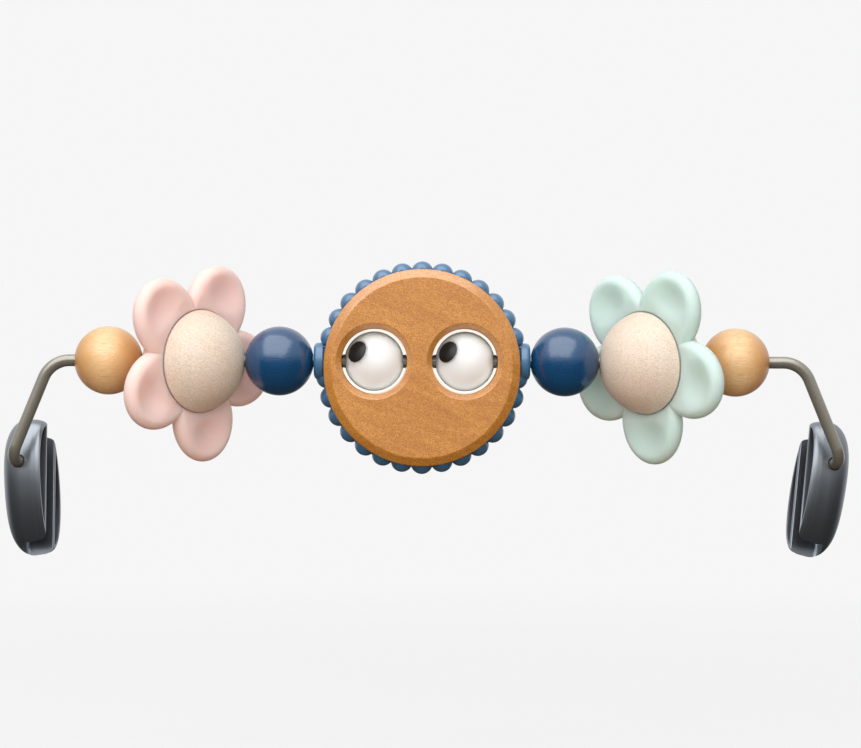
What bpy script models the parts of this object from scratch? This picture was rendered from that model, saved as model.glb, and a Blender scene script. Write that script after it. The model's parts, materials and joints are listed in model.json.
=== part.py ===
"""A toy bar for a baby's bouncer: a bent rod strung with beads, flowers and a googly face, on two seat clips.

Lengths are metres and +Z is up. The face looks along -Y. The origin lies midway between the middles of the two
clips, where the seat's side tubes hold the bar. Each strung piece has its own origin on the rod's axis.
"""

from math import atan2, cos, pi, radians, sin, sqrt, tan

import bmesh
import bpy
from mathutils import Matrix, Vector

LEFT, RIGHT = -1, 1
SIDE_NAMES = {LEFT: "left", RIGHT: "right"}

# Clearances
GAP = 0.0003                     # between pieces that touch
STRING_GAP = 0.0005              # between neighbours on the rod
RUNNING_GAP = 0.0005             # between the rod and what turns on it
OVERRUN = 0.002                  # how far a cutter runs past the wall it cuts
MERGE_DISTANCE = 0.000001        # points closer than this become one

# Rod: a round bar whose legs splay down and out, and whose ends turn back into the clips
ROD_RADIUS = 0.003
LEG_SPLAY = radians(22.1)        # a leg's lean from the vertical
LEG_DROP = 0.0489
TOP_BEND_RADIUS = 0.014
END_BEND_RADIUS = 0.0075
END_TO_CLIP = 0.0081             # from the leg's line to the mouth of the clip's bore
END_IN_CLIP = 0.0092             # how deep an end goes into its clip
END_TOE_IN = radians(15)         # the ends turn towards each other as they go back
END_FALL = radians(11)           # and drop
TIP_CHAMFER = 0.0006
GROOVE_DEPTH = 0.0006            # the snap groove round each end
GROOVE_WIDTH = 0.0022
GROOVE_FROM_TIP = 0.0030
GROOVE_SLOPE = 0.0003

# Clips: an upright oval drum, domed on the outside, with a slot that runs its whole length and opens inwards
CLIP_HALF_WIDTH = 0.0110         # to either side of the bore for the rod
CLIP_HALF_HEIGHT = 0.0346
CLIP_HALF_DEPTH = 0.0150
CLIP_BACK_OF_BORE = 0.0150       # from the bore's mouth back to the middle of the clip
CLIP_BELOW_BORE = 0.0141         # from the bore's mouth down to the middle of the clip
CLIP_OVAL_POWER_SHARE = 0.93     # the power of the oval's curves, where 1 is a true ellipse
DOME_RUN = 0.0120                # the outer side's dome starts this far from its crown
DOME_FALL_IN_HEIGHT = 0.0180     # and the oval loses this much at each end
DOME_FALL_IN_DEPTH = 0.0100      # and this much at its front and back
TAPER_REACH_SHARES = (0.55, 0.82, 0.95, 1)           # of the way from the fullest oval to the inner face
TAPER_SIZE_SHARES = (0.985, 0.960, 0.932, 0.905)     # of the fullest oval's size there
CLIP_BORE_RADIUS = 0.0035
RIB_WIDTH = 0.0010               # the rib in the bore that snaps into the rod's groove
SLOT_WIDTH = 0.0100
SLOT_FLOOR = 0.0034              # how far outward of the bore's axis the slot begins
SLOT_SETBACK = 0.0007            # the slot's middle is this far behind the clip's middle
SLOT_CORNER_RADIUS = 0.0022
SLOT_LIP_RADIUS = 0.0007
LEFT_CLIP_SWING = radians(3.9)   # how far each clip's foot has swung inwards about the rod's end
RIGHT_CLIP_SWING = radians(10)

# Beads
END_BEAD_RADIUS = 0.0171
BLUE_BEAD_RADIUS = 0.0173
BEAD_RIM_CHAMFER = 0.0004

# Face: a scalloped core between two wooden plates
STRING_SLACK = 0.0103            # how far the strung pieces can slide along the straight in all
STRING_SHIFT = -0.00225          # the strung pieces sit this far to the left in their slack
FACE_HANG = 0.0031               # the face's middle hangs below the rod
PLATE_RADIUS = 0.0490
PLATE_THICKNESS = 0.0075
PLATE_CHAMFER_WIDTH = 0.0040
PLATE_CHAMFER_DEPTH = 0.0028
EYE_HOLE_CHAMFER = 0.0025
CORE_SETBACK = 0.0012            # the core stops this far inside the plates' edge
CORE_HALF_THICKNESS = 0.0052
KNOB_COUNT = 30
KNOB_RADIUS = 0.0056
KNOB_SET_IN = 0.0002             # the knobs' middles lie this far inside the core's edge
BOSS_RADIUS = 0.00925
BOSS_STAND_OFF = 0.0015          # from the core's edge to the boss
BOSS_LENGTH = 0.0047
BOSS_EDGE_RADIUS = 0.0022
BOSS_NECK_LENGTH = 0.0040        # how far a boss's neck runs into the core
BOSS_NECK_WALL = 0.0014

# Eyes
EYE_RADIUS = 0.0148
EYE_REACH_SHARE = 0.4602         # of the plates' radius, from the middle of the pair to each eye
EYE_PAIR_SHIFT = -0.0012         # the pair sits a little left of the face's middle
EYE_CLEARANCE = 0.00035          # between a ball and its socket
SOCKET_WALL = 0.00095
SOCKET_RIM_BELOW_FACE = 0.0025
PUPIL_RADIUS = 0.0055
PUPIL_THICKNESS = 0.0016
PUPIL_GAP = 0.00025
PUPIL_FROM_ROD = radians(51)     # the angle between a pupil's direction and the rod
EYE_ROLL = radians(26.6)         # how far the pupils look up

# Flowers: a turned dome and a back cap, with a ring of petals between them, bored on the slant
FLOWER_SLANT = radians(48.6)     # from facing forwards towards facing the face
LEFT_FLOWER_ROLL = radians(2.5)
RIGHT_FLOWER_ROLL = radians(6.8)
DOME_RADIUS = 0.0263
DOME_BASE_HEIGHT = 0.0062        # the dome's flat base stands this far from its centre
DOME_EDGE_CHAMFER = 0.0004
SPIGOT_RADIUS = 0.0137
CAP_SETBACK = 0.0013             # the back cap's ball is this much smaller than the dome's
PETAL_COUNT = 5
PETAL_HALF_LENGTH = 0.0214
PETAL_OVERLAP = 0.00184          # how far a petal's half width passes the line to the next petal
PETAL_CENTRE_REACH = 0.0297
PETAL_HALF_THICKNESS = 0.0046
PETAL_MID_HEIGHT = 0.0024
PETAL_RIM_RADIUS = 0.0046
PETAL_WEB_REACH = 0.0290         # the web that joins the petals
PETAL_RISE_WIDTH = 0.0076        # the petals rise over this width past the dome's edge
DISH_DEPTH = 0.0038
DISH_CENTRE_REACH = 0.0368
DISH_HALF_LENGTH = 0.0125
DISH_HALF_WIDTH = 0.0138
LEFT_PETAL_PHASE = radians(27)      # clockwise from upright, seen from the dome
RIGHT_PETAL_PHASE = radians(29.2)

# Facets
BEAD_SIDES = 20
BEAD_STEPS = 9
ROD_SIDES = 12
BORE_SIDES = 12
BEND_STEPS = 5
CLIP_SIDES = 30
CLIP_DOME_STEPS = 5
CORNER_STEPS = 3
FACE_SIDES = 48
KNOB_SAMPLES = 6
EYE_SIDES = 20
EYE_HOLE_SIDES = 24
DOME_SIDES = 24
DOME_STEPS = 5
PETAL_SAMPLES = 8
PUPIL_SIDES = 14
KNOB_HEIGHT_SHARES = (1, 0.72, 0, -0.72, -1)                 # of the core's half thickness
PETAL_FRONT_SHARES = (0.22, 0.45, 0.65, 0.82, 0.92, 0.98)    # of the way from the dome's edge to a petal's outline
PETAL_BACK_SHARES = (0.98, 0.92, 0.80, 0.40)

# Sizes that follow from the ones above
CLIP_SWING = {LEFT: LEFT_CLIP_SWING, RIGHT: RIGHT_CLIP_SWING}
FLOWER_ROLL = {LEFT: LEFT_FLOWER_ROLL, RIGHT: RIGHT_FLOWER_ROLL}
PETAL_PHASE = {LEFT: LEFT_PETAL_PHASE, RIGHT: RIGHT_PETAL_PHASE}
BORE_RADIUS = ROD_RADIUS + RUNNING_GAP
CAP_RADIUS = DOME_RADIUS - CAP_SETBACK
DOME_BASE_RADIUS = sqrt(DOME_RADIUS ** 2 - DOME_BASE_HEIGHT ** 2)
PETAL_HALF_WIDTH = PETAL_CENTRE_REACH * sin(pi / PETAL_COUNT) + PETAL_OVERLAP
PETAL_SEAT_HEIGHT = DOME_BASE_HEIGHT - GAP
PETAL_BACK_HEIGHT = PETAL_MID_HEIGHT - PETAL_HALF_THICKNESS
CAP_BASE_HEIGHT = PETAL_BACK_HEIGHT - GAP
CORE_RADIUS = PLATE_RADIUS - CORE_SETBACK
KNOB_CIRCLE_RADIUS = CORE_RADIUS - KNOB_SET_IN
BOSS_FOOT = CORE_RADIUS + BOSS_STAND_OFF
BOSS_REACH = BOSS_FOOT + BOSS_LENGTH
EYE_REACH = PLATE_RADIUS * EYE_REACH_SHARE
PLATE_FOOT = CORE_HALF_THICKNESS + GAP
PLATE_FACE = PLATE_FOOT + PLATE_THICKNESS
SOCKET_INNER_RADIUS = EYE_RADIUS + EYE_CLEARANCE
SOCKET_OUTER_RADIUS = SOCKET_INNER_RADIUS + SOCKET_WALL

FACE_TURN = Matrix.Rotation(radians(90), 4, "X")    # local Z looks forwards, local Y looks up
ROD_TURN = Matrix.Rotation(radians(90), 4, "Y")     # local Z runs along the rod


# Places along the rod, where each piece comes up against the rim of the next one's bore

def rim_reach(radius, bore):
    """How far a bored ball reaches along its bore."""
    return sqrt(radius ** 2 - bore ** 2)


def bead_reach(radius):
    """How far a bead reaches along its bore, with its rims broken."""
    return rim_reach(radius, BORE_RADIUS + BEAD_RIM_CHAMFER)


BLUE_BEAD_PLACE = BOSS_REACH + STRING_GAP + bead_reach(BLUE_BEAD_RADIUS)
FLOWER_PLACE = BLUE_BEAD_PLACE + bead_reach(BLUE_BEAD_RADIUS) + STRING_GAP + rim_reach(DOME_RADIUS, BORE_RADIUS)
END_BEAD_PLACE = FLOWER_PLACE + rim_reach(CAP_RADIUS, BORE_RADIUS) + STRING_GAP + bead_reach(END_BEAD_RADIUS)
STRAIGHT_REACH = END_BEAD_PLACE + bead_reach(END_BEAD_RADIUS) + STRING_SLACK / 2
ROD_CORNER_REACH = STRAIGHT_REACH + TOP_BEND_RADIUS * tan((pi / 2 - LEG_SPLAY) / 2)    # where a leg's line starts


# Materials

def finish(name, colour, roughness, metallic=0.0):
    """A Principled material of one colour."""
    material = bpy.data.materials.new(name)
    material.use_nodes = True
    shader = material.node_tree.nodes["Principled BSDF"]
    shader.inputs["Base Color"].default_value = (*colour, 1.0)
    shader.inputs["Roughness"].default_value = roughness
    shader.inputs["Metallic"].default_value = metallic
    material.diffuse_color = (*colour, 1.0)
    return material


def finishes():
    """Every finish on the bar, by name."""
    return {
        "rod_paint": finish("rod_paint", (0.27, 0.25, 0.22), 0.45, 0.3),
        "clip_plastic": finish("clip_plastic", (0.10, 0.125, 0.15), 0.38),
        "maple": finish("maple", (0.76, 0.47, 0.20), 0.42),
        "navy_paint": finish("navy_paint", (0.010, 0.065, 0.19), 0.18),
        "petal_pink": finish("petal_pink", (0.80, 0.52, 0.46), 0.62),
        "petal_mint": finish("petal_mint", (0.53, 0.68, 0.62), 0.62),
        "birch": finish("birch", (0.76, 0.62, 0.50), 0.60),
        "honey_wood": finish("honey_wood", (0.56, 0.27, 0.08), 0.45),
        "core_blue": finish("core_blue", (0.055, 0.17, 0.37), 0.42),
        "eye_white": finish("eye_white", (0.86, 0.86, 0.84), 0.20),
        "pupil_black": finish("pupil_black", (0.01, 0.01, 0.01), 0.12),
    }


# Mesh helpers

def add_object(name, shape, place, material, frame):
    """Turns a bmesh into an object at a place in the bar's frame, smooth where it is round."""
    bmesh.ops.recalc_face_normals(shape, faces=shape.faces)
    mesh = bpy.data.meshes.new(name)
    shape.to_mesh(mesh)
    shape.free()
    mesh.shade_smooth()
    mesh.set_sharp_from_angle(angle=radians(35))
    piece = bpy.data.objects.new(name, mesh)
    if material:
        mesh.materials.append(material)
    bpy.context.collection.objects.link(piece)
    piece.parent = frame
    piece.matrix_basis = place
    return piece


def add_cutter(name, shape, target):
    """A hidden tool in its target's own frame."""
    cutter = add_object(name, shape, target.matrix_basis.copy(), None, target.parent)
    cutter.hide_render = True
    cutter.display_type = "WIRE"
    return cutter


def combine(target, tool, operation):
    """A live Boolean between a piece and a hidden tool."""
    modifier = target.modifiers.new(tool.name, "BOOLEAN")
    modifier.object = tool
    modifier.operation = operation
    modifier.solver = "EXACT"


def cut(target, name, shape):
    """Cuts a shape, given in the target's frame, out of the target."""
    combine(target, add_cutter(name, shape, target), "DIFFERENCE")


def join(target, name, shape):
    """Joins a shape, given in the target's frame, to the target."""
    combine(target, add_cutter(name, shape, target), "UNION")


def skin(rings, capped=True, looped=False):
    """Joins rings of points, all of one count, into a closed surface."""
    shape = bmesh.new()
    loops = [[shape.verts.new(point) for point in ring] for ring in rings]
    count = len(rings[0])
    following = loops[1:] + (loops[:1] if looped else [])
    for ring, after in zip(loops, following):
        for i in range(count):
            j = (i + 1) % count
            shape.faces.new((ring[i], ring[j], after[j], after[i]))
    if capped and not looped:
        shape.faces.new(loops[0])
        shape.faces.new(loops[-1])
    return shape


def lathe(profile, sides, closed=False):
    """Spins a profile of (radius, height) points round local Z. An open profile starts and ends on the axis."""
    shape = bmesh.new()
    points = [shape.verts.new((radius, 0, height)) for radius, height in profile]
    pairs = list(zip(points, points[1:]))
    if closed:
        pairs.append((points[-1], points[0]))
    edges = [shape.edges.new(pair) for pair in pairs]
    bmesh.ops.spin(
        shape, geom=points + edges, axis=(0, 0, 1), cent=(0, 0, 0), angle=2 * pi, steps=sides, use_merge=True
    )
    bmesh.ops.remove_doubles(shape, verts=shape.verts, dist=MERGE_DISTANCE)
    return shape


def prism(outline, low, high):
    """Extrudes an outline of (x, y) points from one height to another."""
    shape = bmesh.new()
    face = shape.faces.new([shape.verts.new((x, y, low)) for x, y in outline])
    grown = bmesh.ops.extrude_face_region(shape, geom=[face])["geom"]
    tops = [part for part in grown if isinstance(part, bmesh.types.BMVert)]
    bmesh.ops.translate(shape, verts=tops, vec=(0, 0, high - low))
    return shape


def cylinder(radius, low, high, sides=BORE_SIDES):
    """A solid cylinder round local Z."""
    return lathe([(0, low), (radius, low), (radius, high), (0, high)], sides)


def moved(shape, matrix):
    """The same shape after a move or turn."""
    bmesh.ops.transform(shape, matrix=matrix, verts=shape.verts)
    return shape


def arc(centre, radius, start, stop, steps):
    """Points along an arc, both ends included, in the plane of a profile."""
    angles = [start + (stop - start) * i / steps for i in range(steps + 1)]
    return [(centre[0] + radius * cos(a), centre[1] + radius * sin(a)) for a in angles]


def soft_step(share):
    """Rises smoothly from 0 to 1 as the share does."""
    share = min(1, max(0, share))
    return share * share * (3 - 2 * share)


# Rod

def end_turn(side):
    """Turns +Y to the way a rod's end runs back into its clip."""
    return Matrix.Rotation(side * END_TOE_IN, 4, "Z") @ Matrix.Rotation(-END_FALL, 4, "X")


def end_direction(side):
    """The way a rod's end runs back into its clip."""
    return end_turn(side).to_3x3() @ Vector((0, 1, 0))


def leg_foot(side):
    """Where a leg's line meets the line of the rod's end."""
    return Vector((side * (ROD_CORNER_REACH + LEG_DROP * tan(LEG_SPLAY)), 0, -LEG_DROP))


def rounded_corner(before, corner, after, radius):
    """Points along the arc that rounds a corner between two straight runs."""
    back = (before - corner).normalized()
    onward = (after - corner).normalized()
    half = back.angle(onward) / 2
    centre = corner + (back + onward).normalized() * (radius / sin(half))
    first = corner + back * (radius / tan(half)) - centre
    last = corner + onward * (radius / tan(half)) - centre
    turn = first.angle(last)
    shares = [i / BEND_STEPS for i in range(BEND_STEPS + 1)]
    return [centre + (first * sin((1 - s) * turn) + last * sin(s * turn)) / sin(turn) for s in shares]


def end_stations(side):
    """The rod's end from its tip inwards, as (point, radius): chamfer, snap groove, then plain bar."""
    inward = -end_direction(side)
    tip = leg_foot(side) - inward * (END_TO_CLIP + END_IN_CLIP)
    groove = GROOVE_FROM_TIP
    low = ROD_RADIUS - GROOVE_DEPTH
    steps = [
        (0, ROD_RADIUS - TIP_CHAMFER),
        (TIP_CHAMFER, ROD_RADIUS),
        (groove, ROD_RADIUS),
        (groove + GROOVE_SLOPE, low),
        (groove + GROOVE_WIDTH - GROOVE_SLOPE, low),
        (groove + GROOVE_WIDTH, ROD_RADIUS),
    ]
    return [(tip + inward * distance, radius) for distance, radius in steps]


def rod_stations():
    """The whole rod from the left tip to the right one, as (point, radius)."""
    halves = {}
    for side in (LEFT, RIGHT):
        ends = end_stations(side)
        foot = leg_foot(side)
        corner = Vector((side * ROD_CORNER_REACH, 0, 0))
        bends = rounded_corner(ends[-1][0], foot, corner, END_BEND_RADIUS)
        bends += rounded_corner(foot, corner, Vector((0, 0, 0)), TOP_BEND_RADIUS)
        halves[side] = ends + [(point, ROD_RADIUS) for point in bends]
    return halves[LEFT] + halves[RIGHT][::-1]


def rod_shape():
    """A round bar through the rod's stations, its rings square to its path."""
    stations = rod_stations()
    points = [point for point, radius in stations]
    rings = []
    normal = Vector((0, 0, 1))
    for i, (point, radius) in enumerate(stations):
        before = points[max(0, i - 1)]
        after = points[min(len(points) - 1, i + 1)]
        along = (after - before).normalized()
        normal = (normal - along * normal.dot(along)).normalized()
        across = along.cross(normal)
        angles = [2 * pi * k / ROD_SIDES for k in range(ROD_SIDES)]
        rings.append([point + (normal * cos(a) + across * sin(a)) * radius for a in angles])
    return skin(rings)


# Clips

def clip_place(side, swing):
    """The clip's frame: its origin is the mouth of the bore, and it swings about +Y, the bore's axis."""
    mouth = leg_foot(side) + end_direction(side) * END_TO_CLIP
    return Matrix.Translation(mouth) @ end_turn(side) @ Matrix.Rotation(side * swing, 4, "Y")


def clip_point(side, inward, back, up):
    """A point of the clip in its own frame, given from its middle in upright terms."""
    upright = Matrix.Rotation(END_FALL, 3, "X")
    return upright @ Vector((-side * inward, CLIP_BACK_OF_BORE + back, up - CLIP_BELOW_BORE))


def power(value, exponent):
    """A power that keeps the sign of its base."""
    return abs(value) ** exponent * (1 if value >= 0 else -1)


def oval(side, inward, half_depth, half_height):
    """One oval ring of the drum, at a distance inward of the bore's axis."""
    ring = []
    for k in range(CLIP_SIDES):
        turn = 2 * pi * k / CLIP_SIDES
        back = half_depth * power(cos(turn), CLIP_OVAL_POWER_SHARE)
        up = half_height * power(sin(turn), CLIP_OVAL_POWER_SHARE)
        ring.append(clip_point(side, inward, back, up))
    return ring


def drum_shape(side):
    """The clip's outer form: ovals that swell from the domed outer side and shrink again to the flat inner face."""
    fullest = DOME_RUN - CLIP_HALF_WIDTH
    sections = []
    for i in range(CLIP_DOME_STEPS + 1):
        angle = pi / 2 * (1 - i / CLIP_DOME_STEPS)
        fall = 1 - cos(angle)
        depth = CLIP_HALF_DEPTH - DOME_FALL_IN_DEPTH * fall
        height = CLIP_HALF_HEIGHT - DOME_FALL_IN_HEIGHT * fall
        sections.append((fullest - DOME_RUN * sin(angle), depth, height))
    for reach, size in zip(TAPER_REACH_SHARES, TAPER_SIZE_SHARES):
        inward = fullest + (CLIP_HALF_WIDTH - fullest) * reach
        sections.append((inward, CLIP_HALF_DEPTH * size, CLIP_HALF_HEIGHT * size))
    return skin([oval(side, *section) for section in sections])


def slot_front():
    """How far back along the bore's axis the slot's front wall stands, square to that axis."""
    return clip_point(LEFT, 0, SLOT_SETBACK, 0).y - SLOT_WIDTH / 2


def slot_outline():
    """The slot's section as (inward, back): flat floor, rounded inner corners and eased lips."""
    half = SLOT_WIDTH / 2
    corner = SLOT_CORNER_RADIUS
    lip = SLOT_LIP_RADIUS
    inner = corner - SLOT_FLOOR
    near = [(CLIP_HALF_WIDTH + OVERRUN, -half - lip)]
    near += arc((CLIP_HALF_WIDTH - lip, -half - lip), lip, 0, pi / 2, CORNER_STEPS)
    near += arc((inner, corner - half), corner, 1.5 * pi, pi, CORNER_STEPS)
    return near + [(inward, -back) for inward, back in reversed(near)]


def slot_shape(side):
    """The slot for the seat's side tube, square to the rod's end and so leaning back from the upright."""
    reach = CLIP_HALF_HEIGHT + CLIP_HALF_DEPTH + CLIP_BELOW_BORE
    middle = slot_front() + SLOT_WIDTH / 2
    shape = prism([(-side * inward, back) for inward, back in slot_outline()], -reach, reach)
    return moved(shape, Matrix.Translation((0, middle, 0)))


def rod_bore_shape():
    """The blind bore for the rod's end, with the rib that snaps into the rod's groove left standing."""
    start = -END_TO_CLIP
    end = END_IN_CLIP + RUNNING_GAP
    rib = ROD_RADIUS - GROOVE_DEPTH + GAP
    middle = END_IN_CLIP - GROOVE_FROM_TIP - GROOVE_WIDTH / 2
    profile = [
        (0, start),
        (CLIP_BORE_RADIUS, start),
        (CLIP_BORE_RADIUS, middle - RIB_WIDTH / 2 - GROOVE_SLOPE),
        (rib, middle - RIB_WIDTH / 2),
        (rib, middle + RIB_WIDTH / 2),
        (CLIP_BORE_RADIUS, middle + RIB_WIDTH / 2 + GROOVE_SLOPE),
        (CLIP_BORE_RADIUS, end),
        (0, end),
    ]
    return moved(lathe(profile, BORE_SIDES), Matrix.Rotation(radians(-90), 4, "X"))


def add_clip(side, frame, looks):
    """One clip: the drum, slotted for the seat's tube and bored for the rod."""
    name = f"{SIDE_NAMES[side]}_clip"
    clip = add_object(name, drum_shape(side), clip_place(side, CLIP_SWING[side]), looks["clip_plastic"], frame)
    cut(clip, f"{name}_slot_tool", slot_shape(side))
    cut(clip, f"{name}_bore_tool", rod_bore_shape())


# Beads

def bead_shape(radius, sides):
    """A ball bored for the rod along local Z, with its rims broken."""
    start = atan2(bead_reach(radius), BORE_RADIUS + BEAD_RIM_CHAMFER)
    lip = bead_reach(radius) - BEAD_RIM_CHAMFER
    outside = arc((0, 0), radius, start, -start, BEAD_STEPS)
    return lathe(outside + [(BORE_RADIUS, -lip), (BORE_RADIUS, lip)], sides, closed=True)


def add_beads(frame, looks):
    """The wooden end beads and the painted beads beside the face."""
    rows = (("end_bead", END_BEAD_PLACE, END_BEAD_RADIUS, "maple"),
            ("blue_bead", BLUE_BEAD_PLACE, BLUE_BEAD_RADIUS, "navy_paint"))
    for kind, distance, radius, look in rows:
        for side, side_name in SIDE_NAMES.items():
            place = Matrix.Translation((STRING_SHIFT + side * distance, 0, 0)) @ ROD_TURN
            shape = bead_shape(radius, BEAD_SIDES)
            add_object(f"{side_name}_{kind}", shape, place, looks[look], frame)


# Flowers

def flower_place(side):
    """The flower's frame: its origin is on the rod, +Z is the dome's axis and +Y is up before it rolls."""
    forward = Vector((-side * sin(FLOWER_SLANT), -cos(FLOWER_SLANT), 0))
    up = Vector((0, 0, 1))
    axes = Matrix((up.cross(forward), up, forward)).transposed().to_4x4()
    roll = Matrix.Rotation(FLOWER_ROLL[side], 4, "X")
    return Matrix.Translation((STRING_SHIFT + side * FLOWER_PLACE, 0, 0)) @ roll @ axes


def flower_bore_shape(side):
    """The slanting bore for the rod, in the flower's own frame."""
    reach = DOME_RADIUS + OVERRUN
    along = Vector((cos(FLOWER_SLANT), 0, -side * sin(FLOWER_SLANT)))
    turn = Vector((0, 0, 1)).rotation_difference(along).to_matrix().to_4x4()
    return moved(cylinder(BORE_RADIUS, -reach, reach), turn)


def dome_shape():
    """The front of the flower: a ball's cap on a flat base, and the spigot that goes through the petals."""
    edge = DOME_BASE_RADIUS - DOME_EDGE_CHAMFER
    start = atan2(DOME_BASE_HEIGHT + DOME_EDGE_CHAMFER, DOME_BASE_RADIUS)
    crown = arc((0, 0), DOME_RADIUS, start, pi / 2, DOME_STEPS)
    spigot = [(0, PETAL_BACK_HEIGHT), (SPIGOT_RADIUS, PETAL_BACK_HEIGHT), (SPIGOT_RADIUS, DOME_BASE_HEIGHT)]
    return lathe(spigot + [(edge, DOME_BASE_HEIGHT)] + crown[:-1] + [(0, DOME_RADIUS)], DOME_SIDES)


def cap_shape():
    """The back of the flower: a slightly smaller ball's cap that closes against the spigot."""
    base = sqrt(CAP_RADIUS ** 2 - CAP_BASE_HEIGHT ** 2)
    start = atan2(CAP_BASE_HEIGHT, base)
    crown = arc((0, 0), CAP_RADIUS, start, -pi / 2, DOME_STEPS)
    return lathe([(0, CAP_BASE_HEIGHT)] + crown[:-1] + [(0, -CAP_RADIUS)], DOME_SIDES)


def petal_notch_turn():
    """Where round its ellipse a petal's outline meets the next petal's."""
    half_pitch = pi / PETAL_COUNT
    across = (cos(half_pitch) / PETAL_HALF_LENGTH) ** 2 + (sin(half_pitch) / PETAL_HALF_WIDTH) ** 2
    along = PETAL_CENTRE_REACH * cos(half_pitch) / PETAL_HALF_LENGTH ** 2
    outside = (PETAL_CENTRE_REACH / PETAL_HALF_LENGTH) ** 2 - 1
    reach = (along + sqrt(along ** 2 - across * outside)) / across
    x = (reach * cos(half_pitch) - PETAL_CENTRE_REACH) / PETAL_HALF_LENGTH
    y = reach * sin(half_pitch) / PETAL_HALF_WIDTH
    return atan2(y, x)


def petal_rim_share(x, y):
    """0 on the petals' outline and 1 where their rounded rim ends, at a point of one petal's own frame."""
    reach = sqrt(x * x + y * y)
    ellipse = sqrt(((x - PETAL_CENTRE_REACH) / PETAL_HALF_LENGTH) ** 2 + (y / PETAL_HALF_WIDTH) ** 2)
    inside = max((1 - ellipse) * PETAL_HALF_WIDTH, PETAL_WEB_REACH - reach)
    return min(1, max(0, inside / PETAL_RIM_RADIUS))


def petal_swell(rim):
    """How far a petal swells from its middle height as its rim rounds over."""
    return PETAL_HALF_THICKNESS * sqrt(1 - (1 - rim) ** 2)


def petal_front(x, y):
    """The petals' front height at a point of one petal's own frame, whose X runs out along the petal."""
    rim = petal_rim_share(x, y)
    hollow = ((x - DISH_CENTRE_REACH) / DISH_HALF_LENGTH) ** 2 + (y / DISH_HALF_WIDTH) ** 2
    dish = DISH_DEPTH * max(0, 1 - hollow) ** 2
    free = soft_step((sqrt(x * x + y * y) - DOME_BASE_RADIUS) / PETAL_RISE_WIDTH)
    seat = PETAL_MID_HEIGHT + PETAL_HALF_THICKNESS - PETAL_SEAT_HEIGHT
    return PETAL_MID_HEIGHT + petal_swell(rim) - dish * free - seat * (1 - free) * rim


def petal_back(x, y):
    """The petals' back height at a point of one petal's own frame."""
    return PETAL_MID_HEIGHT - petal_swell(petal_rim_share(x, y))


def petals_shape(side):
    """Five spoon-like petals fused round a web, as rays that each run out over the front and back underneath."""
    hole = SPIGOT_RADIUS + GAP
    notch = petal_notch_turn()
    rays = []
    for petal in range(PETAL_COUNT):
        heading = pi / 2 - PETAL_PHASE[side] - 2 * pi * petal / PETAL_COUNT
        for k in range(PETAL_SAMPLES):
            turn = notch - 2 * notch * k / PETAL_SAMPLES
            x = PETAL_CENTRE_REACH + PETAL_HALF_LENGTH * cos(turn)
            y = PETAL_HALF_WIDTH * sin(turn)
            rim = sqrt(x * x + y * y)
            angle = atan2(y, x)
            reaches = [DOME_BASE_RADIUS + (rim - DOME_BASE_RADIUS) * share for share in PETAL_FRONT_SHARES]
            backs = [DOME_BASE_RADIUS + (rim - DOME_BASE_RADIUS) * share for share in PETAL_BACK_SHARES]
            ray = [(hole, PETAL_BACK_HEIGHT), (hole, PETAL_SEAT_HEIGHT), (DOME_BASE_RADIUS, PETAL_SEAT_HEIGHT)]
            ray += [(reach, petal_front(reach * cos(angle), reach * sin(angle))) for reach in reaches]
            ray += [(rim, PETAL_MID_HEIGHT)]
            ray += [(reach, petal_back(reach * cos(angle), reach * sin(angle))) for reach in backs]
            rays.append([(r * cos(heading + angle), r * sin(heading + angle), z) for r, z in ray])
    return skin(rays, looped=True)


def add_flower(side, frame, looks):
    """One flower: petals, dome and back cap in one slanted frame."""
    name = SIDE_NAMES[side]
    place = flower_place(side)
    petal_look = {LEFT: "petal_pink", RIGHT: "petal_mint"}[side]
    add_object(f"{name}_petals", petals_shape(side), place, looks[petal_look], frame)
    dome = add_object(f"{name}_flower_dome", dome_shape(), place, looks["birch"], frame)
    cut(dome, f"{name}_dome_bore_tool", flower_bore_shape(side))
    cap = add_object(f"{name}_flower_back", cap_shape(), place, looks["birch"], frame)
    cut(cap, f"{name}_back_bore_tool", flower_bore_shape(side))


# Face

def face_place():
    """The face's frame: its origin is on the rod, +X along it, +Y up and +Z out of the face."""
    return Matrix.Translation((STRING_SHIFT, 0, 0)) @ FACE_TURN


def hung(shape):
    """Moves a shape turned round the face's own middle down to where that middle hangs."""
    return moved(shape, Matrix.Translation((0, -FACE_HANG, 0)))


def eye_places():
    """Each eye's distance along the rod from the face's middle."""
    return {side: EYE_PAIR_SHIFT + side * EYE_REACH for side in (LEFT, RIGHT)}


def plate_shape(way):
    """A wooden plate in front of the core or behind it, with a broad chamfer round its outer face."""
    flat = PLATE_RADIUS - PLATE_CHAMFER_WIDTH
    shoulder = PLATE_FACE - PLATE_CHAMFER_DEPTH
    rows = [(0, PLATE_FOOT), (PLATE_RADIUS, PLATE_FOOT), (PLATE_RADIUS, shoulder), (flat, PLATE_FACE), (0, PLATE_FACE)]
    return lathe([(radius, way * height) for radius, height in rows], FACE_SIDES)


def eye_hole_shape(way, distance):
    """A hole for an eye socket, chamfered at the plate's outer face."""
    radius = SOCKET_OUTER_RADIUS + GAP
    start = PLATE_FACE - EYE_HOLE_CHAMFER
    foot = PLATE_FOOT - OVERRUN
    wide = radius + EYE_HOLE_CHAMFER + OVERRUN
    top = PLATE_FACE + OVERRUN
    rows = [(0, foot), (radius, foot), (radius, start), (wide, top), (0, top)]
    shape = lathe([(radius, way * height) for radius, height in rows], EYE_HOLE_SIDES)
    return moved(shape, Matrix.Translation((distance, 0, 0)))


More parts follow.
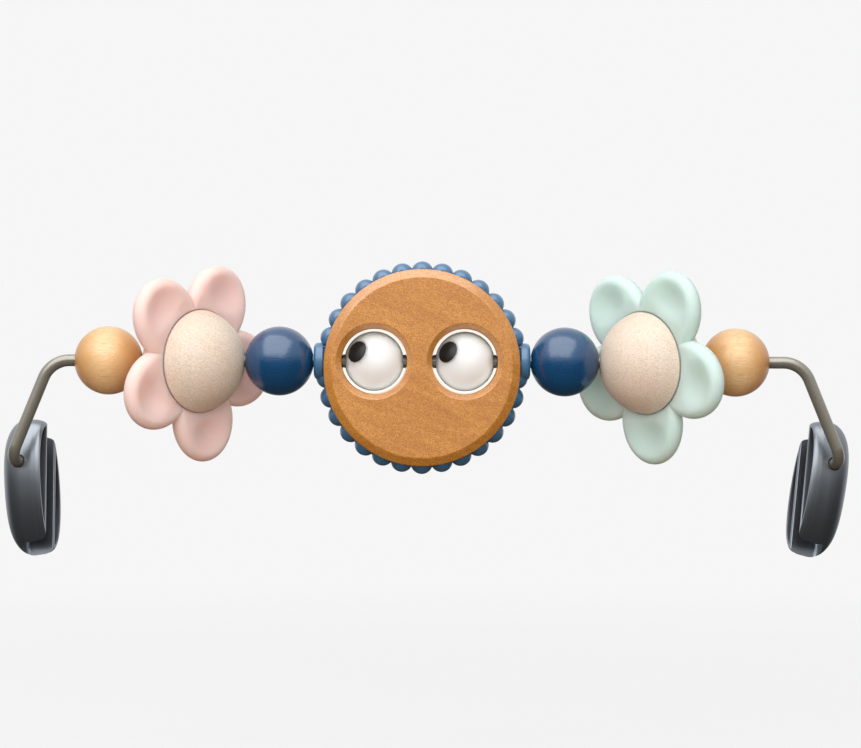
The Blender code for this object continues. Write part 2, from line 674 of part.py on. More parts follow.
def knob_reach(off, height):
    """The core's outer radius at an angle off a knob's middle and a height from the core's mid-plane."""
    left_over = KNOB_RADIUS ** 2 - (KNOB_CIRCLE_RADIUS * sin(off)) ** 2 - height ** 2
    if left_over <= 0:
        return CORE_RADIUS
    return max(CORE_RADIUS, KNOB_CIRCLE_RADIUS * cos(off) + sqrt(left_over))


def core_shape():
    """The core: a thick disc with a ring of round knobs, one of them at the very top."""
    count = KNOB_COUNT * KNOB_SAMPLES
    pitch = 2 * pi / KNOB_COUNT
    rings = []
    for share in KNOB_HEIGHT_SHARES:
        height = CORE_HALF_THICKNESS * share
        ring = []
        for k in range(count):
            turn = 2 * pi * k / count
            off = (turn + pitch / 2) % pitch - pitch / 2
            reach = knob_reach(off, height)
            ring.append((reach * sin(turn), reach * cos(turn), height))
        rings.append(ring)
    return skin(rings)


def boss_shape(side):
    """A round boss on the rod's axis, on a neck that grows out of the core, with a rounded outer edge."""
    start = BOSS_FOOT - BOSS_NECK_LENGTH
    neck = BORE_RADIUS + BOSS_NECK_WALL
    corner = BOSS_REACH - BOSS_EDGE_RADIUS
    edge = arc((BOSS_RADIUS - BOSS_EDGE_RADIUS, corner), BOSS_EDGE_RADIUS, 0, pi / 2, CORNER_STEPS)
    profile = [(0, start), (neck, start), (neck, BOSS_FOOT), (BOSS_RADIUS, BOSS_FOOT)] + edge + [(0, BOSS_REACH)]
    return moved(lathe(profile, EYE_SIDES), Matrix.Rotation(side * radians(90), 4, "Y"))


def rod_way_shape():
    """A straight way along the rod through the whole face."""
    reach = BOSS_REACH + OVERRUN
    return moved(cylinder(BORE_RADIUS, -reach, reach), Matrix.Rotation(radians(90), 4, "Y"))


def eye_way_shape(distance):
    """The opening in the core for an eye socket."""
    reach = CORE_HALF_THICKNESS + OVERRUN
    shape = cylinder(SOCKET_OUTER_RADIUS + RUNNING_GAP, -reach, reach, EYE_HOLE_SIDES)
    return moved(shape, Matrix.Translation((distance, 0, 0)))


def socket_shape(distance):
    """An eye socket: a round-bottomed cup whose rim stops just below the plate's face."""
    rim = PLATE_FACE - SOCKET_RIM_BELOW_FACE
    steps = DOME_STEPS
    outside = arc((0, 0), SOCKET_OUTER_RADIUS, -pi / 2, 0, steps)[1:]
    inside = arc((0, 0), SOCKET_INNER_RADIUS, 0, -pi / 2, steps)[:-1]
    wall = [(SOCKET_OUTER_RADIUS, rim), (SOCKET_INNER_RADIUS, rim)]
    profile = [(0, -SOCKET_OUTER_RADIUS)] + outside + wall + inside + [(0, -SOCKET_INNER_RADIUS)]
    return moved(lathe(profile, EYE_SIDES), Matrix.Translation((distance, 0, 0)))


def notch_shape(distance):
    """The U-shaped notches that let the rod cross a socket."""
    half = ROD_RADIUS + GAP
    top = PLATE_FACE + OVERRUN
    foot = arc((0, 0), half, 0, -pi, 2 * CORNER_STEPS)
    outline = [(half, top)] + foot + [(-half, top)]
    reach = SOCKET_OUTER_RADIUS + OVERRUN
    shape = prism(outline, -reach, reach)
    axes = Matrix(((0, 0, 1), (1, 0, 0), (0, 1, 0))).to_4x4()
    return moved(shape, Matrix.Translation((distance, 0, 0)) @ axes)


def pupil_turn():
    """Turns local Z from the rod's direction to the pupil's, in a ball's own frame."""
    return Matrix.Rotation(-EYE_ROLL, 4, "X") @ Matrix.Rotation(PUPIL_FROM_ROD - pi / 2, 4, "Y")


def pupil_shape():
    """A black plug whose outer face carries on the ball's curve."""
    edge = sqrt(EYE_RADIUS ** 2 - PUPIL_RADIUS ** 2)
    crown = arc((0, 0), EYE_RADIUS, atan2(edge, PUPIL_RADIUS), pi / 2, CORNER_STEPS)
    base = edge - PUPIL_THICKNESS
    profile = [(0, base), (PUPIL_RADIUS, base)] + crown[:-1] + [(0, EYE_RADIUS)]
    return moved(lathe(profile, PUPIL_SIDES), pupil_turn())


def pupil_seat_shape():
    """The round recess for a pupil."""
    base = sqrt(EYE_RADIUS ** 2 - PUPIL_RADIUS ** 2) - PUPIL_THICKNESS - GAP
    shape = cylinder(PUPIL_RADIUS + PUPIL_GAP, base, EYE_RADIUS + OVERRUN, PUPIL_SIDES)
    return moved(shape, pupil_turn())


def add_eye(side, distance, frame, looks):
    """One rolling eye: a ball bored for the rod, with its pupil let in."""
    name = SIDE_NAMES[side]
    place = Matrix.Translation((STRING_SHIFT + distance, 0, 0)) @ FACE_TURN
    shape = moved(bead_shape(EYE_RADIUS, EYE_SIDES), ROD_TURN)
    ball = add_object(f"{name}_eye_ball", shape, place, looks["eye_white"], frame)
    cut(ball, f"{name}_pupil_seat_tool", pupil_seat_shape())
    add_object(f"{name}_pupil", pupil_shape(), place, looks["pupil_black"], frame)


def add_face(frame, looks):
    """The face: a scalloped core between two plates, and a socket and ball for each eye."""
    place = face_place()
    core = add_object("face_core", hung(core_shape()), place, looks["core_blue"], frame)
    for side in (LEFT, RIGHT):
        join(core, f"{SIDE_NAMES[side]}_boss_tool", boss_shape(side))
    cut(core, "core_bore_tool", rod_way_shape())
    plates = {}
    for kind, way in (("front", 1), ("back", -1)):
        plates[way] = add_object(f"face_{kind}_plate", hung(plate_shape(way)), place, looks["honey_wood"], frame)
    for side, distance in eye_places().items():
        name = SIDE_NAMES[side]
        cut(core, f"{name}_eye_way_tool", eye_way_shape(distance))
        for way, plate in plates.items():
            cut(plate, f"{name}_eye_hole_tool_{plate.name}", eye_hole_shape(way, distance))
        socket = add_object(f"{name}_eye_socket", socket_shape(distance), place, looks["eye_white"], frame)
        cut(socket, f"{name}_notch_tool", notch_shape(distance))
        add_eye(side, distance, frame, looks)


# Whole bar

def bar_frame():
    """An empty on the rod's middle, placed so that the origin lies midway between the clips as they hang straight."""
    frame = bpy.data.objects.new("bar_frame", None)
    bpy.context.collection.objects.link(frame)
    middles = [clip_place(side, 0) @ clip_point(side, 0, 0, 0) for side in (LEFT, RIGHT)]
    frame.location = -(middles[0] + middles[1]) / 2
    return frame


def clear_scene():
    """Removes whatever the file opened with."""
    for thing in list(bpy.data.objects):
        bpy.data.objects.remove(thing, do_unlink=True)


def main():
    clear_scene()
    looks = finishes()
    frame = bar_frame()
    add_object("bar_rod", rod_shape(), Matrix(), looks["rod_paint"], frame)
    for side in (LEFT, RIGHT):
        add_clip(side, frame, looks)
        add_flower(side, frame, looks)
    add_beads(frame, looks)
    add_face(frame, looks)
    bpy.context.view_layer.update()


main()
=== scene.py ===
"""The looks of a toy bar for a baby's bouncer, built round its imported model.

Each strung piece, the rod and the two seat clips are fine surfaces worked out with numpy in the places that the
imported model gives, and each stands for the plain solid of its own name. Lengths are metres, +Z is up and the face
looks along -Y.
"""

import json
import logging
from dataclasses import dataclass, field
from enum import Enum
from math import atan2, cos, pi, radians, sin, sqrt, tan

import bmesh
import bpy
import numpy as np
from mathutils import Matrix, Vector


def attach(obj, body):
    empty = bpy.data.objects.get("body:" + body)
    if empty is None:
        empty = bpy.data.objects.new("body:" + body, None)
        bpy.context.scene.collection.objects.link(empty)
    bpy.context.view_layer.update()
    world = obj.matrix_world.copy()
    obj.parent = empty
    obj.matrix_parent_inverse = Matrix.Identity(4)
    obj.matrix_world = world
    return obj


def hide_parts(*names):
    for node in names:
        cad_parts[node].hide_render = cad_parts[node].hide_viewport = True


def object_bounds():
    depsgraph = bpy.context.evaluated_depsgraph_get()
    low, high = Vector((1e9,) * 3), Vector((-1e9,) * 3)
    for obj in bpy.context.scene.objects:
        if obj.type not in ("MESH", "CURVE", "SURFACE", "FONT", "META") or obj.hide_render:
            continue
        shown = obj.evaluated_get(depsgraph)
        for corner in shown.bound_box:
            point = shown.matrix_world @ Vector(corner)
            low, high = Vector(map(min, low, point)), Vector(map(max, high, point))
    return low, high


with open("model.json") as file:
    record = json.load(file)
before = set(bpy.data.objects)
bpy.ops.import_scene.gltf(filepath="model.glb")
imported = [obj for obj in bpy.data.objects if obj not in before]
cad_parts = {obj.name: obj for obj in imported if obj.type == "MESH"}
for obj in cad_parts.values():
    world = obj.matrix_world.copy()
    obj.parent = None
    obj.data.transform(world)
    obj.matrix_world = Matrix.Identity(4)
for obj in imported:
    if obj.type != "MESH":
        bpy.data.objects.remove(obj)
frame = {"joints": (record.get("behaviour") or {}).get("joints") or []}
CAD_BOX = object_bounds()

LOG = logging.getLogger("toy_bar")
Array = np.ndarray
Mesh = bpy.types.Mesh
Node = bpy.types.Node
NodeTree = bpy.types.NodeTree
Socket = bpy.types.NodeSocket
Colour = tuple[float, float, float]
Pair = tuple[float, float]

GAP = 0.0003  # the air between neighbouring pieces
OVERRUN = 0.002  # how far a cutting tool runs past what it cuts
MERGE_REACH = 1e-7  # points nearer to each other than this become one
EASE_LIMIT = 0.45  # the most of a side that one rounding takes
EASE_STEPS = 4  # pieces in each rounding
BORE_SIDES = 48  # sides of the tools that cut the rod's way
SHARP_EDGE = radians(32)  # edges over this angle stay sharp


class Choice(Enum):
    """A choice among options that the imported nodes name."""

    @property
    def word(self) -> str:
        """The option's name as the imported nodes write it."""
        return self.name.lower()


class Side(Choice):
    """The two ends of the bar, as seen by someone facing it."""

    LEFT = -1
    RIGHT = 1


class Way(Choice):
    """The face's two plates, and the two jaws of a clip."""

    FRONT = 1
    BACK = -1


def joint_place(name: str) -> Vector:
    """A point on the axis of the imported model's joint of this name."""
    return Vector(next(joint["pos_m"] for joint in frame["joints"] if joint["name"] == name))


FACE_TURN = Matrix.Rotation(radians(90), 4, "X")
ROD_TURN = Matrix.Rotation(radians(90), 4, "Y")
ROD_MIDDLE = Vector((0, *joint_place("face_spin").yz))


def soft_step(share: Array) -> Array:
    """Rises smoothly from 0 to 1: s squared times (3 - 2s), held between its ends."""
    held = np.clip(share, 0, 1)
    return held * held * (3 - 2 * held)


def turns(count: int) -> Array:
    """Evenly spaced angles, once round from 0."""
    return np.linspace(0, 2 * pi, count, endpoint=False)


def round_points(reach: Array | float, turn: Array, height: Array | float) -> Array:
    """Points (r cos t, r sin t, h), for reaches, turns and heights that broadcast together."""
    return np.stack(np.broadcast_arrays(reach * np.cos(turn), reach * np.sin(turn), height), axis=-1)


def arc(centre: Pair, radius: float, start: float, stop: float, steps: int) -> Array:
    """Points centre + radius (cos a, sin a) for angles a from start to stop."""
    angle = np.linspace(start, stop, steps + 1)
    return np.stack([centre[0] + radius * np.cos(angle), centre[1] + radius * np.sin(angle)], axis=-1)


def crown(radius: float, start: float, way: int = 1, steps: int = 48) -> Array:
    """An arc about the origin from an angle to the pole above, or to the one below where way is -1."""
    points = arc((0, 0), radius, start, way * pi / 2, steps)
    points[-1] = (0, way * radius)
    return points


def eased(corners: list[Pair], radius: float) -> Array:
    """Rounds the inner corners of a profile.

    Each corner c between points a and b becomes the curve (1-t)^2 p + 2t(1-t) c + t^2 q, where p and q lie the
    radius away from c towards a and b.

    Args:
        corners: The profile's points, as (radius, height).
        radius: How far from each corner the rounding starts.

    Returns:
        The rounded profile as an (n, 2) array.
    """
    points = np.asarray(corners, float)
    corner = points[1:-1]
    arms = (points[:-2] - corner, points[2:] - corner)
    lengths = [np.linalg.norm(arm, axis=1, keepdims=True) for arm in arms]
    near = np.minimum(radius, np.minimum(*lengths) * EASE_LIMIT)
    start, stop = (corner + arm / length * near for arm, length in zip(arms, lengths))
    t = np.linspace(0, 1, EASE_STEPS + 1)[None, :, None]
    curve = (1 - t) ** 2 * start[:, None] + 2 * t * (1 - t) * corner[:, None] + t**2 * stop[:, None]
    return np.concatenate([points[:1], curve.reshape(-1, 2), points[-1:]])


def grid_mesh(grid: Array, looped: bool = False) -> Mesh:
    """Makes a closed mesh of a grid of points whose columns run round it.

    Args:
        grid: Points as (rows, columns, 3).
        looped: True where the last row joins the first again.

    Returns:
        The mesh, its poles merged, its open ends filled and its faces outwards.
    """
    rows, columns = grid.shape[:2]
    index = np.arange(rows * columns).reshape(rows, columns)
    index = np.concatenate([index, index[:, :1]], axis=1)
    if looped:
        index = np.concatenate([index, index[:1]])
    quads = np.stack([index[:-1, :-1], index[1:, :-1], index[1:, 1:], index[:-1, 1:]], axis=-1).reshape(-1, 4)
    mesh = bpy.data.meshes.new("surface")
    mesh.from_pydata(grid.reshape(-1, 3), [], quads)
    shape = bmesh.new()
    shape.from_mesh(mesh)
    bmesh.ops.remove_doubles(shape, verts=shape.verts, dist=MERGE_REACH)
    bmesh.ops.holes_fill(shape, edges=[edge for edge in shape.edges if edge.is_boundary], sides=0)
    bmesh.ops.recalc_face_normals(shape, faces=shape.faces)
    shape.to_mesh(mesh)
    shape.free()
    return mesh


def turned(profile: Array | list[Pair], sides: int, looped: bool = False) -> Mesh:
    """Turns a profile of (radius, height) round local Z."""
    rows = np.asarray(profile, float)
    return grid_mesh(round_points(rows[:, :1], turns(sides), rows[:, 1:]), looped)


def column(radius: float, low: float, high: float, sides: int) -> Mesh:
    """A plain round tool that stands on local Z from one height to another."""
    return turned([(0, low), (radius, low), (radius, high), (0, high)], sides)


def prism(outline: Array, reach: float) -> Mesh:
    """Runs an outline of (x, y) points straight along local Z, as far below it as above."""
    return grid_mesh(np.stack([np.insert(outline, 2, level, axis=1) for level in (-reach, reach)]))


def moved(mesh: Mesh, place: Matrix) -> Mesh:
    """The same mesh after a move or turn."""
    mesh.transform(place)
    return mesh


def shifted(mesh: Mesh, x: float = 0.0, y: float = 0.0) -> Mesh:
    """The same mesh after a shift along X and Y."""
    return moved(mesh, Matrix.Translation((x, y, 0)))


def carved(solid: Mesh, cuts: list[Mesh], joins: tuple[Mesh, ...] = ()) -> Mesh:
    """Joins and cuts a solid with others, through objects that are gone again afterwards.

    Args:
        solid: The mesh to work on.
        cuts: Meshes to take away.
        joins: Meshes to add first.

    Returns:
        The resulting mesh.
    """
    body = bpy.data.objects.new("work", solid)
    things = [body]
    for operation, shapes in (("UNION", joins), ("DIFFERENCE", cuts)):
        for shape in shapes:
            modifier = body.modifiers.new("step", "BOOLEAN")
            modifier.object = bpy.data.objects.new("helper", shape)
            modifier.operation, modifier.solver = operation, "EXACT"
            things.append(modifier.object)
    for thing in things:
        bpy.context.collection.objects.link(thing)
    graph = bpy.context.evaluated_depsgraph_get()
    made = bpy.data.meshes.new_from_object(body.evaluated_get(graph))
    for thing in things:
        bpy.data.objects.remove(thing)
    return made


class NodeGraph:
    """A thin hand on a node tree, which adds nodes and feeds their sockets."""

    def __init__(self, tree: NodeTree) -> None:
        """Takes the tree to work on."""
        self.tree = tree

    def add(self, kind: str, feeds: dict | None = None, **settings: object) -> Node:
        """Adds a node.

        Args:
            kind: The node's type name in Blender, less its ShaderNode prefix.
            feeds: A value or an output socket for each input, by name or number.
            settings: The node's own properties.

        Returns:
            The new node.
        """
        made = self.tree.nodes.new(f"ShaderNode{kind}")
        for key, value in settings.items():
            setattr(made, key, value)
        self.fill(made, feeds or {})
        return made

    def fill(self, node: Node, feeds: dict) -> None:
        """Links an output socket to each input that the feeds name or number, or sets the input's own value."""
        for key, value in feeds.items():
            socket = node.inputs[key]
            if isinstance(value, Socket):
                self.tree.links.new(value, socket)
            else:
                socket.default_value = (*value, 1.0) if socket.type == "RGBA" else value

    def place(self) -> Socket:
        """The Object coordinates."""
        return self.add("TexCoord").outputs["Object"]

    def blend(self, share: object, first: object, second: object) -> Socket:
        """Mixes two colours by a share from 0 to 1."""
        return self.add("Mix", {0: share, 6: first, 7: second}, data_type="RGBA").outputs[2]

    def spread(self, value: object, low: float = 0.0, high: float = 1.0, to_low: float = 0.0,
               to_high: float = 1.0) -> Socket:
        """Maps a value's range to another, held at both ends."""
        return self.add("MapRange", {0: value, 1: low, 2: high, 3: to_low, 4: to_high}).outputs[0]

    def noise(self, place: Socket, scale: Socket, detail: float, **more: float) -> Socket:
        """A noise of this scale and detail, with more of its inputs by name."""
        return self.add("TexNoise", {"Vector": place, "Scale": scale, "Detail": detail, **more}).outputs[0]

    def math(self, operation: str, *values: object, kind: str = "Math") -> Socket:
        """Works on numbers, or on vectors where kind is VectorMath."""
        return self.add(kind, dict(enumerate(values)), operation=operation).outputs[0]


def new_group(name: str, inputs: dict[str, float | None], outputs: tuple[str, ...]) -> tuple[NodeGraph, Node, Node]:
    """Starts a shader node group.

    Args:
        name: The group's name.
        inputs: The value of each number that goes in, by name, or None for a vector.
        outputs: The names of its outputs, all numbers.

    Returns:
        A hand on the group's tree, its input node and its output node.
    """
    group = bpy.data.node_groups.new(name, "ShaderNodeTree")
    for title, value in inputs.items():
        kind = "Vector" if value is None else "Float"
        socket = group.interface.new_socket(title, in_out="INPUT", socket_type=f"NodeSocket{kind}")
        if value is not None:
            socket.default_value = value
    for title in outputs:
        group.interface.new_socket(title, in_out="OUTPUT", socket_type="NodeSocketFloat")
    return NodeGraph(group), group.nodes.new("NodeGroupInput"), group.nodes.new("NodeGroupOutput")


def turned_grain_group() -> NodeTree:
    """Wood turned on a lathe: broad bands, fine streaks and short pores along the group's own X.

    Each mark is a noise, and the last two numbers of its row are the range of the noise that becomes 0 to 1.
    """
    inputs = {"Vector": None, "Streaks": 900.0, "Length": 0.08}
    graph, start, end = new_group("turned_grain", inputs, ("Bands", "Streaks", "Pores"))
    place, streaks, length = (start.outputs[name] for name in inputs)
    squeeze = graph.add("CombineXYZ", {0: length, 1: 1.0, 2: 1.0}).outputs[0]
    long = graph.math("MULTIPLY", place, squeeze, kind="VectorMath")
    short = graph.math("MULTIPLY", place, (0.3, 1.0, 1.0), kind="VectorMath")
    slow = graph.math("MULTIPLY", streaks, 0.07)
    marks = {
        "Bands": (graph.noise(long, slow, 2.0, Distortion=0.8), 0.35, 0.65),
        "Streaks": (graph.noise(long, streaks, 3.0, Roughness=0.65), 0.35, 0.65),
        "Pores": (graph.noise(short, streaks, 1.0), 0.56, 0.70),
    }
    graph.fill(end, {name: graph.spread(*mark) for name, mark in marks.items()})
    return graph.tree


def moulding_group() -> NodeTree:
    """A moulded or sprayed skin: a slow cloud, and a fine even roughness of the surface."""
    graph, start, end = new_group("moulded_skin", {"Vector": None, "Cloud": 40.0, "Grit": 2500.0}, ("Cloud", "Grit"))
    cloud, grit = (graph.noise(start.outputs["Vector"], start.outputs[name], 2.0) for name in ("Cloud", "Grit"))
    graph.fill(end, {"Cloud": graph.spread(cloud, 0.3, 0.7), "Grit": grit})
    return graph.tree


@dataclass
class Effects:
    """The shared node groups, made once."""

    turned_grain: NodeTree = field(default_factory=turned_grain_group)
    moulded_skin: NodeTree = field(default_factory=moulding_group)


@dataclass(frozen=True)
class Look:
    """A made material, with the record's slot that it belongs to."""

    slot: str
    material: bpy.types.Material


@dataclass(frozen=True)
class Finish:
    """What every finish on the bar has: the record's slot, and the gloss and fine relief of its surface."""

    slot: str
    roughness: float
    unevenness: float = 0.10
    depth: float = 2e-5
    bump: float = 0.5
    coat: float = 0.0
    coat_roughness: float = 0.25
    specular: float = 0.5

    def surface(self, graph: NodeGraph, effects: Effects, *grain: object) -> dict[str, object]:
        """What this kind of finish feeds to the main shader, by socket."""
        raise NotImplementedError

    def relief(self, graph: NodeGraph, mask: Socket, height: Socket) -> dict[str, Socket]:
        """The roughness, which a mask changes by the unevenness both ways, and the bump of a height."""
        change = self.roughness * self.unevenness
        bump = graph.add("Bump", {"Height": height, "Distance": self.depth, "Strength": self.bump})
        rough = graph.spread(mask, to_low=self.roughness - change, to_high=self.roughness + change)
        return {"Roughness": rough, "Normal": bump.outputs[0]}

    def look(self, label: str, effects: Effects, *grain: object) -> Look:
        """Makes the material.

        Args:
            label: What tells this material from others of its slot.
            effects: The shared node groups.
            grain: For a wood, the piece's middle and how the grain is turned round X, Y and Z.

        Returns:
            The finished material and its slot.
        """
        material = bpy.data.materials.new(f"{self.slot}_{label}")
        material.use_nodes = True
        graph = NodeGraph(material.node_tree)
        constant = {"Coat Weight": self.coat, "Coat Roughness": self.coat_roughness,
                    "Specular IOR Level": self.specular}
        varied = self.surface(graph, effects, *grain)
        graph.fill(material.node_tree.nodes["Principled BSDF"], constant | varied)
        return Look(self.slot, material)


@dataclass(frozen=True, kw_only=True)
class Moulding(Finish):
    """Moulded plastic or sprayed paint, in one colour that drifts a little."""

    colour: Colour
    drift: Colour
    metallic: float = 0.0
    sheen: float = 0.0
    glow: float = 0.0
    glow_depth: float = 0.008
    glow_spread: Colour = (1.0, 1.0, 1.0)

    def surface(self, graph: NodeGraph, effects: Effects, *grain: object) -> dict[str, object]:
        """The drifting colour, its relief, and the light that comes out of it again."""
        skin = graph.add("Group", {"Vector": graph.place()}, node_tree=effects.moulded_skin).outputs
        return {
            "Base Color": graph.blend(skin["Cloud"], self.colour, self.drift),
            "Metallic": self.metallic,
            "Sheen Weight": self.sheen,
            "Subsurface Weight": self.glow,
            "Subsurface Scale": self.glow_depth,
            "Subsurface Radius": self.glow_spread,
        } | self.relief(graph, skin["Cloud"], skin["Grit"])


@dataclass(frozen=True, kw_only=True)
class TurnedWood(Finish):
    """Wood turned on a lathe, bare, lacquered or painted."""

    unevenness: float = 0.15
    depth: float = 4e-5
    bump: float = 0.6
    coat_roughness: float = 0.2
    light: Colour
    dark: Colour
    pore: Colour
    band_share: float
    streak_share: float
    pore_share: float
    speckle_share: float
    speckle_range: Pair = (0.45, 0.65)
    streaks: float
    speckles: float = 2200.0
    length: float
    end_grain: Colour = (0.0, 0.0, 0.0)
    end_share: float = 0.0
    end_range: Pair = (0.00255, 0.01615)

    def surface(self, graph: NodeGraph, effects: Effects, *grain: object) -> dict[str, object]:
        """The light wood under its bands, end grain, streaks, speckles and pores in turn, and its relief."""
        middle, turn = grain
        place = graph.add("Mapping", {"Vector": graph.place(), "Location": tuple(middle), "Rotation": turn},
                          vector_type="TEXTURE").outputs[0]
        marks = graph.add("Group", {"Vector": place, "Streaks": self.streaks, "Length": self.length},
                          node_tree=effects.turned_grain).outputs
        skin = graph.add("Group", {"Vector": place, "Grit": self.speckles}, node_tree=effects.moulded_skin).outputs
        distance = graph.math("ABSOLUTE", graph.add("SeparateXYZ", {0: place}).outputs["X"])
        layers = (
            (marks["Bands"], (0.0, 1.0), self.band_share, self.dark),
            (distance, self.end_range, self.end_share, self.end_grain),
            (marks["Streaks"], (0.0, 1.0), self.streak_share, self.dark),
            (skin["Grit"], self.speckle_range, self.speckle_share, self.pore),
            (marks["Pores"], (0.0, 1.0), self.pore_share, self.pore),
        )
        colour = self.light
        for mask, limits, share, tint in layers:
            colour = graph.blend(graph.spread(mask, *limits, to_high=share), colour, tint)
        return {"Base Color": colour} | self.relief(graph, marks["Streaks"], marks["Streaks"])


ROD_PAINT = Moulding("rod_paint", 0.30, colour=(0.300, 0.284, 0.240), drift=(0.262, 0.248, 0.206), metallic=0.55,
                     coat=0.5, depth=3e-5)
CLIP_PLASTIC = Moulding("clip_plastic", 0.35, colour=(0.268, 0.292, 0.322), drift=(0.238, 0.262, 0.292),
                        metallic=0.95)
CORE_BLUE = Moulding("core_blue", 0.40, colour=(0.052, 0.160, 0.31), drift=(0.045, 0.145, 0.28), coat=0.8,
                     specular=0.6)
EYE_WHITE = Moulding("eye_white", 0.34, colour=(0.93, 0.955, 0.97), drift=(0.91, 0.94, 0.955), depth=5e-6,
                     specular=0.35, glow=0.9, glow_depth=0.012, glow_spread=(1.0, 0.96, 0.92), sheen=0.5)
# The eye cups are the same white plastic as the balls; their cream tint is painted warm light bounced off the wooden
# plates.
EYE_RING_PAINTED_BOUNCE = Moulding("eye_white", 0.34, colour=(0.97, 0.935, 0.87), drift=(0.95, 0.915, 0.85), depth=5e-6,
                    specular=0.35)
PUPIL_BLACK = Moulding("pupil_black", 0.30, colour=(0.008, 0.007, 0.007), drift=(0.010, 0.009, 0.008), depth=5e-6,
                       specular=0.35)
PETAL_PINK = Moulding("petal_pink", 0.52, colour=(0.91, 0.685, 0.645), drift=(0.89, 0.655, 0.61), specular=0.3,
                      glow=0.9, glow_spread=(1.0, 0.6, 0.5))
PETAL_MINT = Moulding("petal_mint", 0.52, colour=(0.625, 0.775, 0.74), drift=(0.605, 0.76, 0.715), specular=0.3,
                      glow=0.9, glow_spread=(0.7, 1.0, 0.85))
MAPLE = TurnedWood("maple", 0.42, light=(0.90, 0.65, 0.38), dark=(0.72, 0.40, 0.14), pore=(0.50, 0.20, 0.05),
                   band_share=0.40, streak_share=0.6, pore_share=0.2, speckle_share=0.15, streaks=1500.0,
                   length=0.05, coat=0.4, end_grain=(0.55, 0.205, 0.03), end_share=1.0)
NAVY_PAINT = TurnedWood("navy_paint", 0.24, light=(0.002, 0.060, 0.168), dark=(0.001, 0.042, 0.125),
                        pore=(0.001, 0.026, 0.09), band_share=0.4, streak_share=0.35, pore_share=0.10,
                        speckle_share=0.0, streaks=1500.0, length=0.06, depth=6e-5, coat=0.5,
                        coat_roughness=0.12, specular=0.75)
BIRCH = TurnedWood("birch", 0.50, light=(0.84, 0.745, 0.65), dark=(0.76, 0.60, 0.46), pore=(0.46, 0.27, 0.13),
                   band_share=0.35, streak_share=0.25, pore_share=0.30, speckle_share=0.50, streaks=3000.0,
                   speckles=2300.0, length=0.35)
HONEY_WOOD = TurnedWood("honey_wood", 0.42, light=(0.76, 0.352, 0.054), dark=(0.44, 0.146, 0.009),
                        pore=(0.30, 0.08, 0.004), band_share=0.45, streak_share=0.65, pore_share=0.28,
                        speckle_share=0.70, streaks=2600.0, speckles=1900.0, length=0.14, coat=1.0, specular=0.95)


def add_piece(name: str, mesh: Mesh, place: Matrix, look: Look, body: str, node: str, flat: bool = False) -> None:
    """Puts a finished piece on its body in place of the plain solid it stands for.

    Args:
        name: The piece's name.
        mesh: Its mesh in its own frame.
        place: Where that frame stands.
        look: Its material and the record's slot.
        body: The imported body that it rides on.
        node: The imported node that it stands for.
        flat: True where large flat faces meet small rounded ones.
    """
    mesh.transform(place)
    mesh.name = name
    mesh.shade_smooth()
    mesh.set_sharp_from_angle(angle=SHARP_EDGE)
    mesh.materials.clear()
    mesh.materials.append(look.material)
    piece = bpy.data.objects.new(name, mesh)
    bpy.context.collection.objects.link(piece)
    if flat:
        piece.modifiers.new("flat_faces", "WEIGHTED_NORMAL").keep_sharp = True
    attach(piece, body)
    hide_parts(node)
    LOG.info("%s rides on %s with %d faces", name, body, len(mesh.polygons))


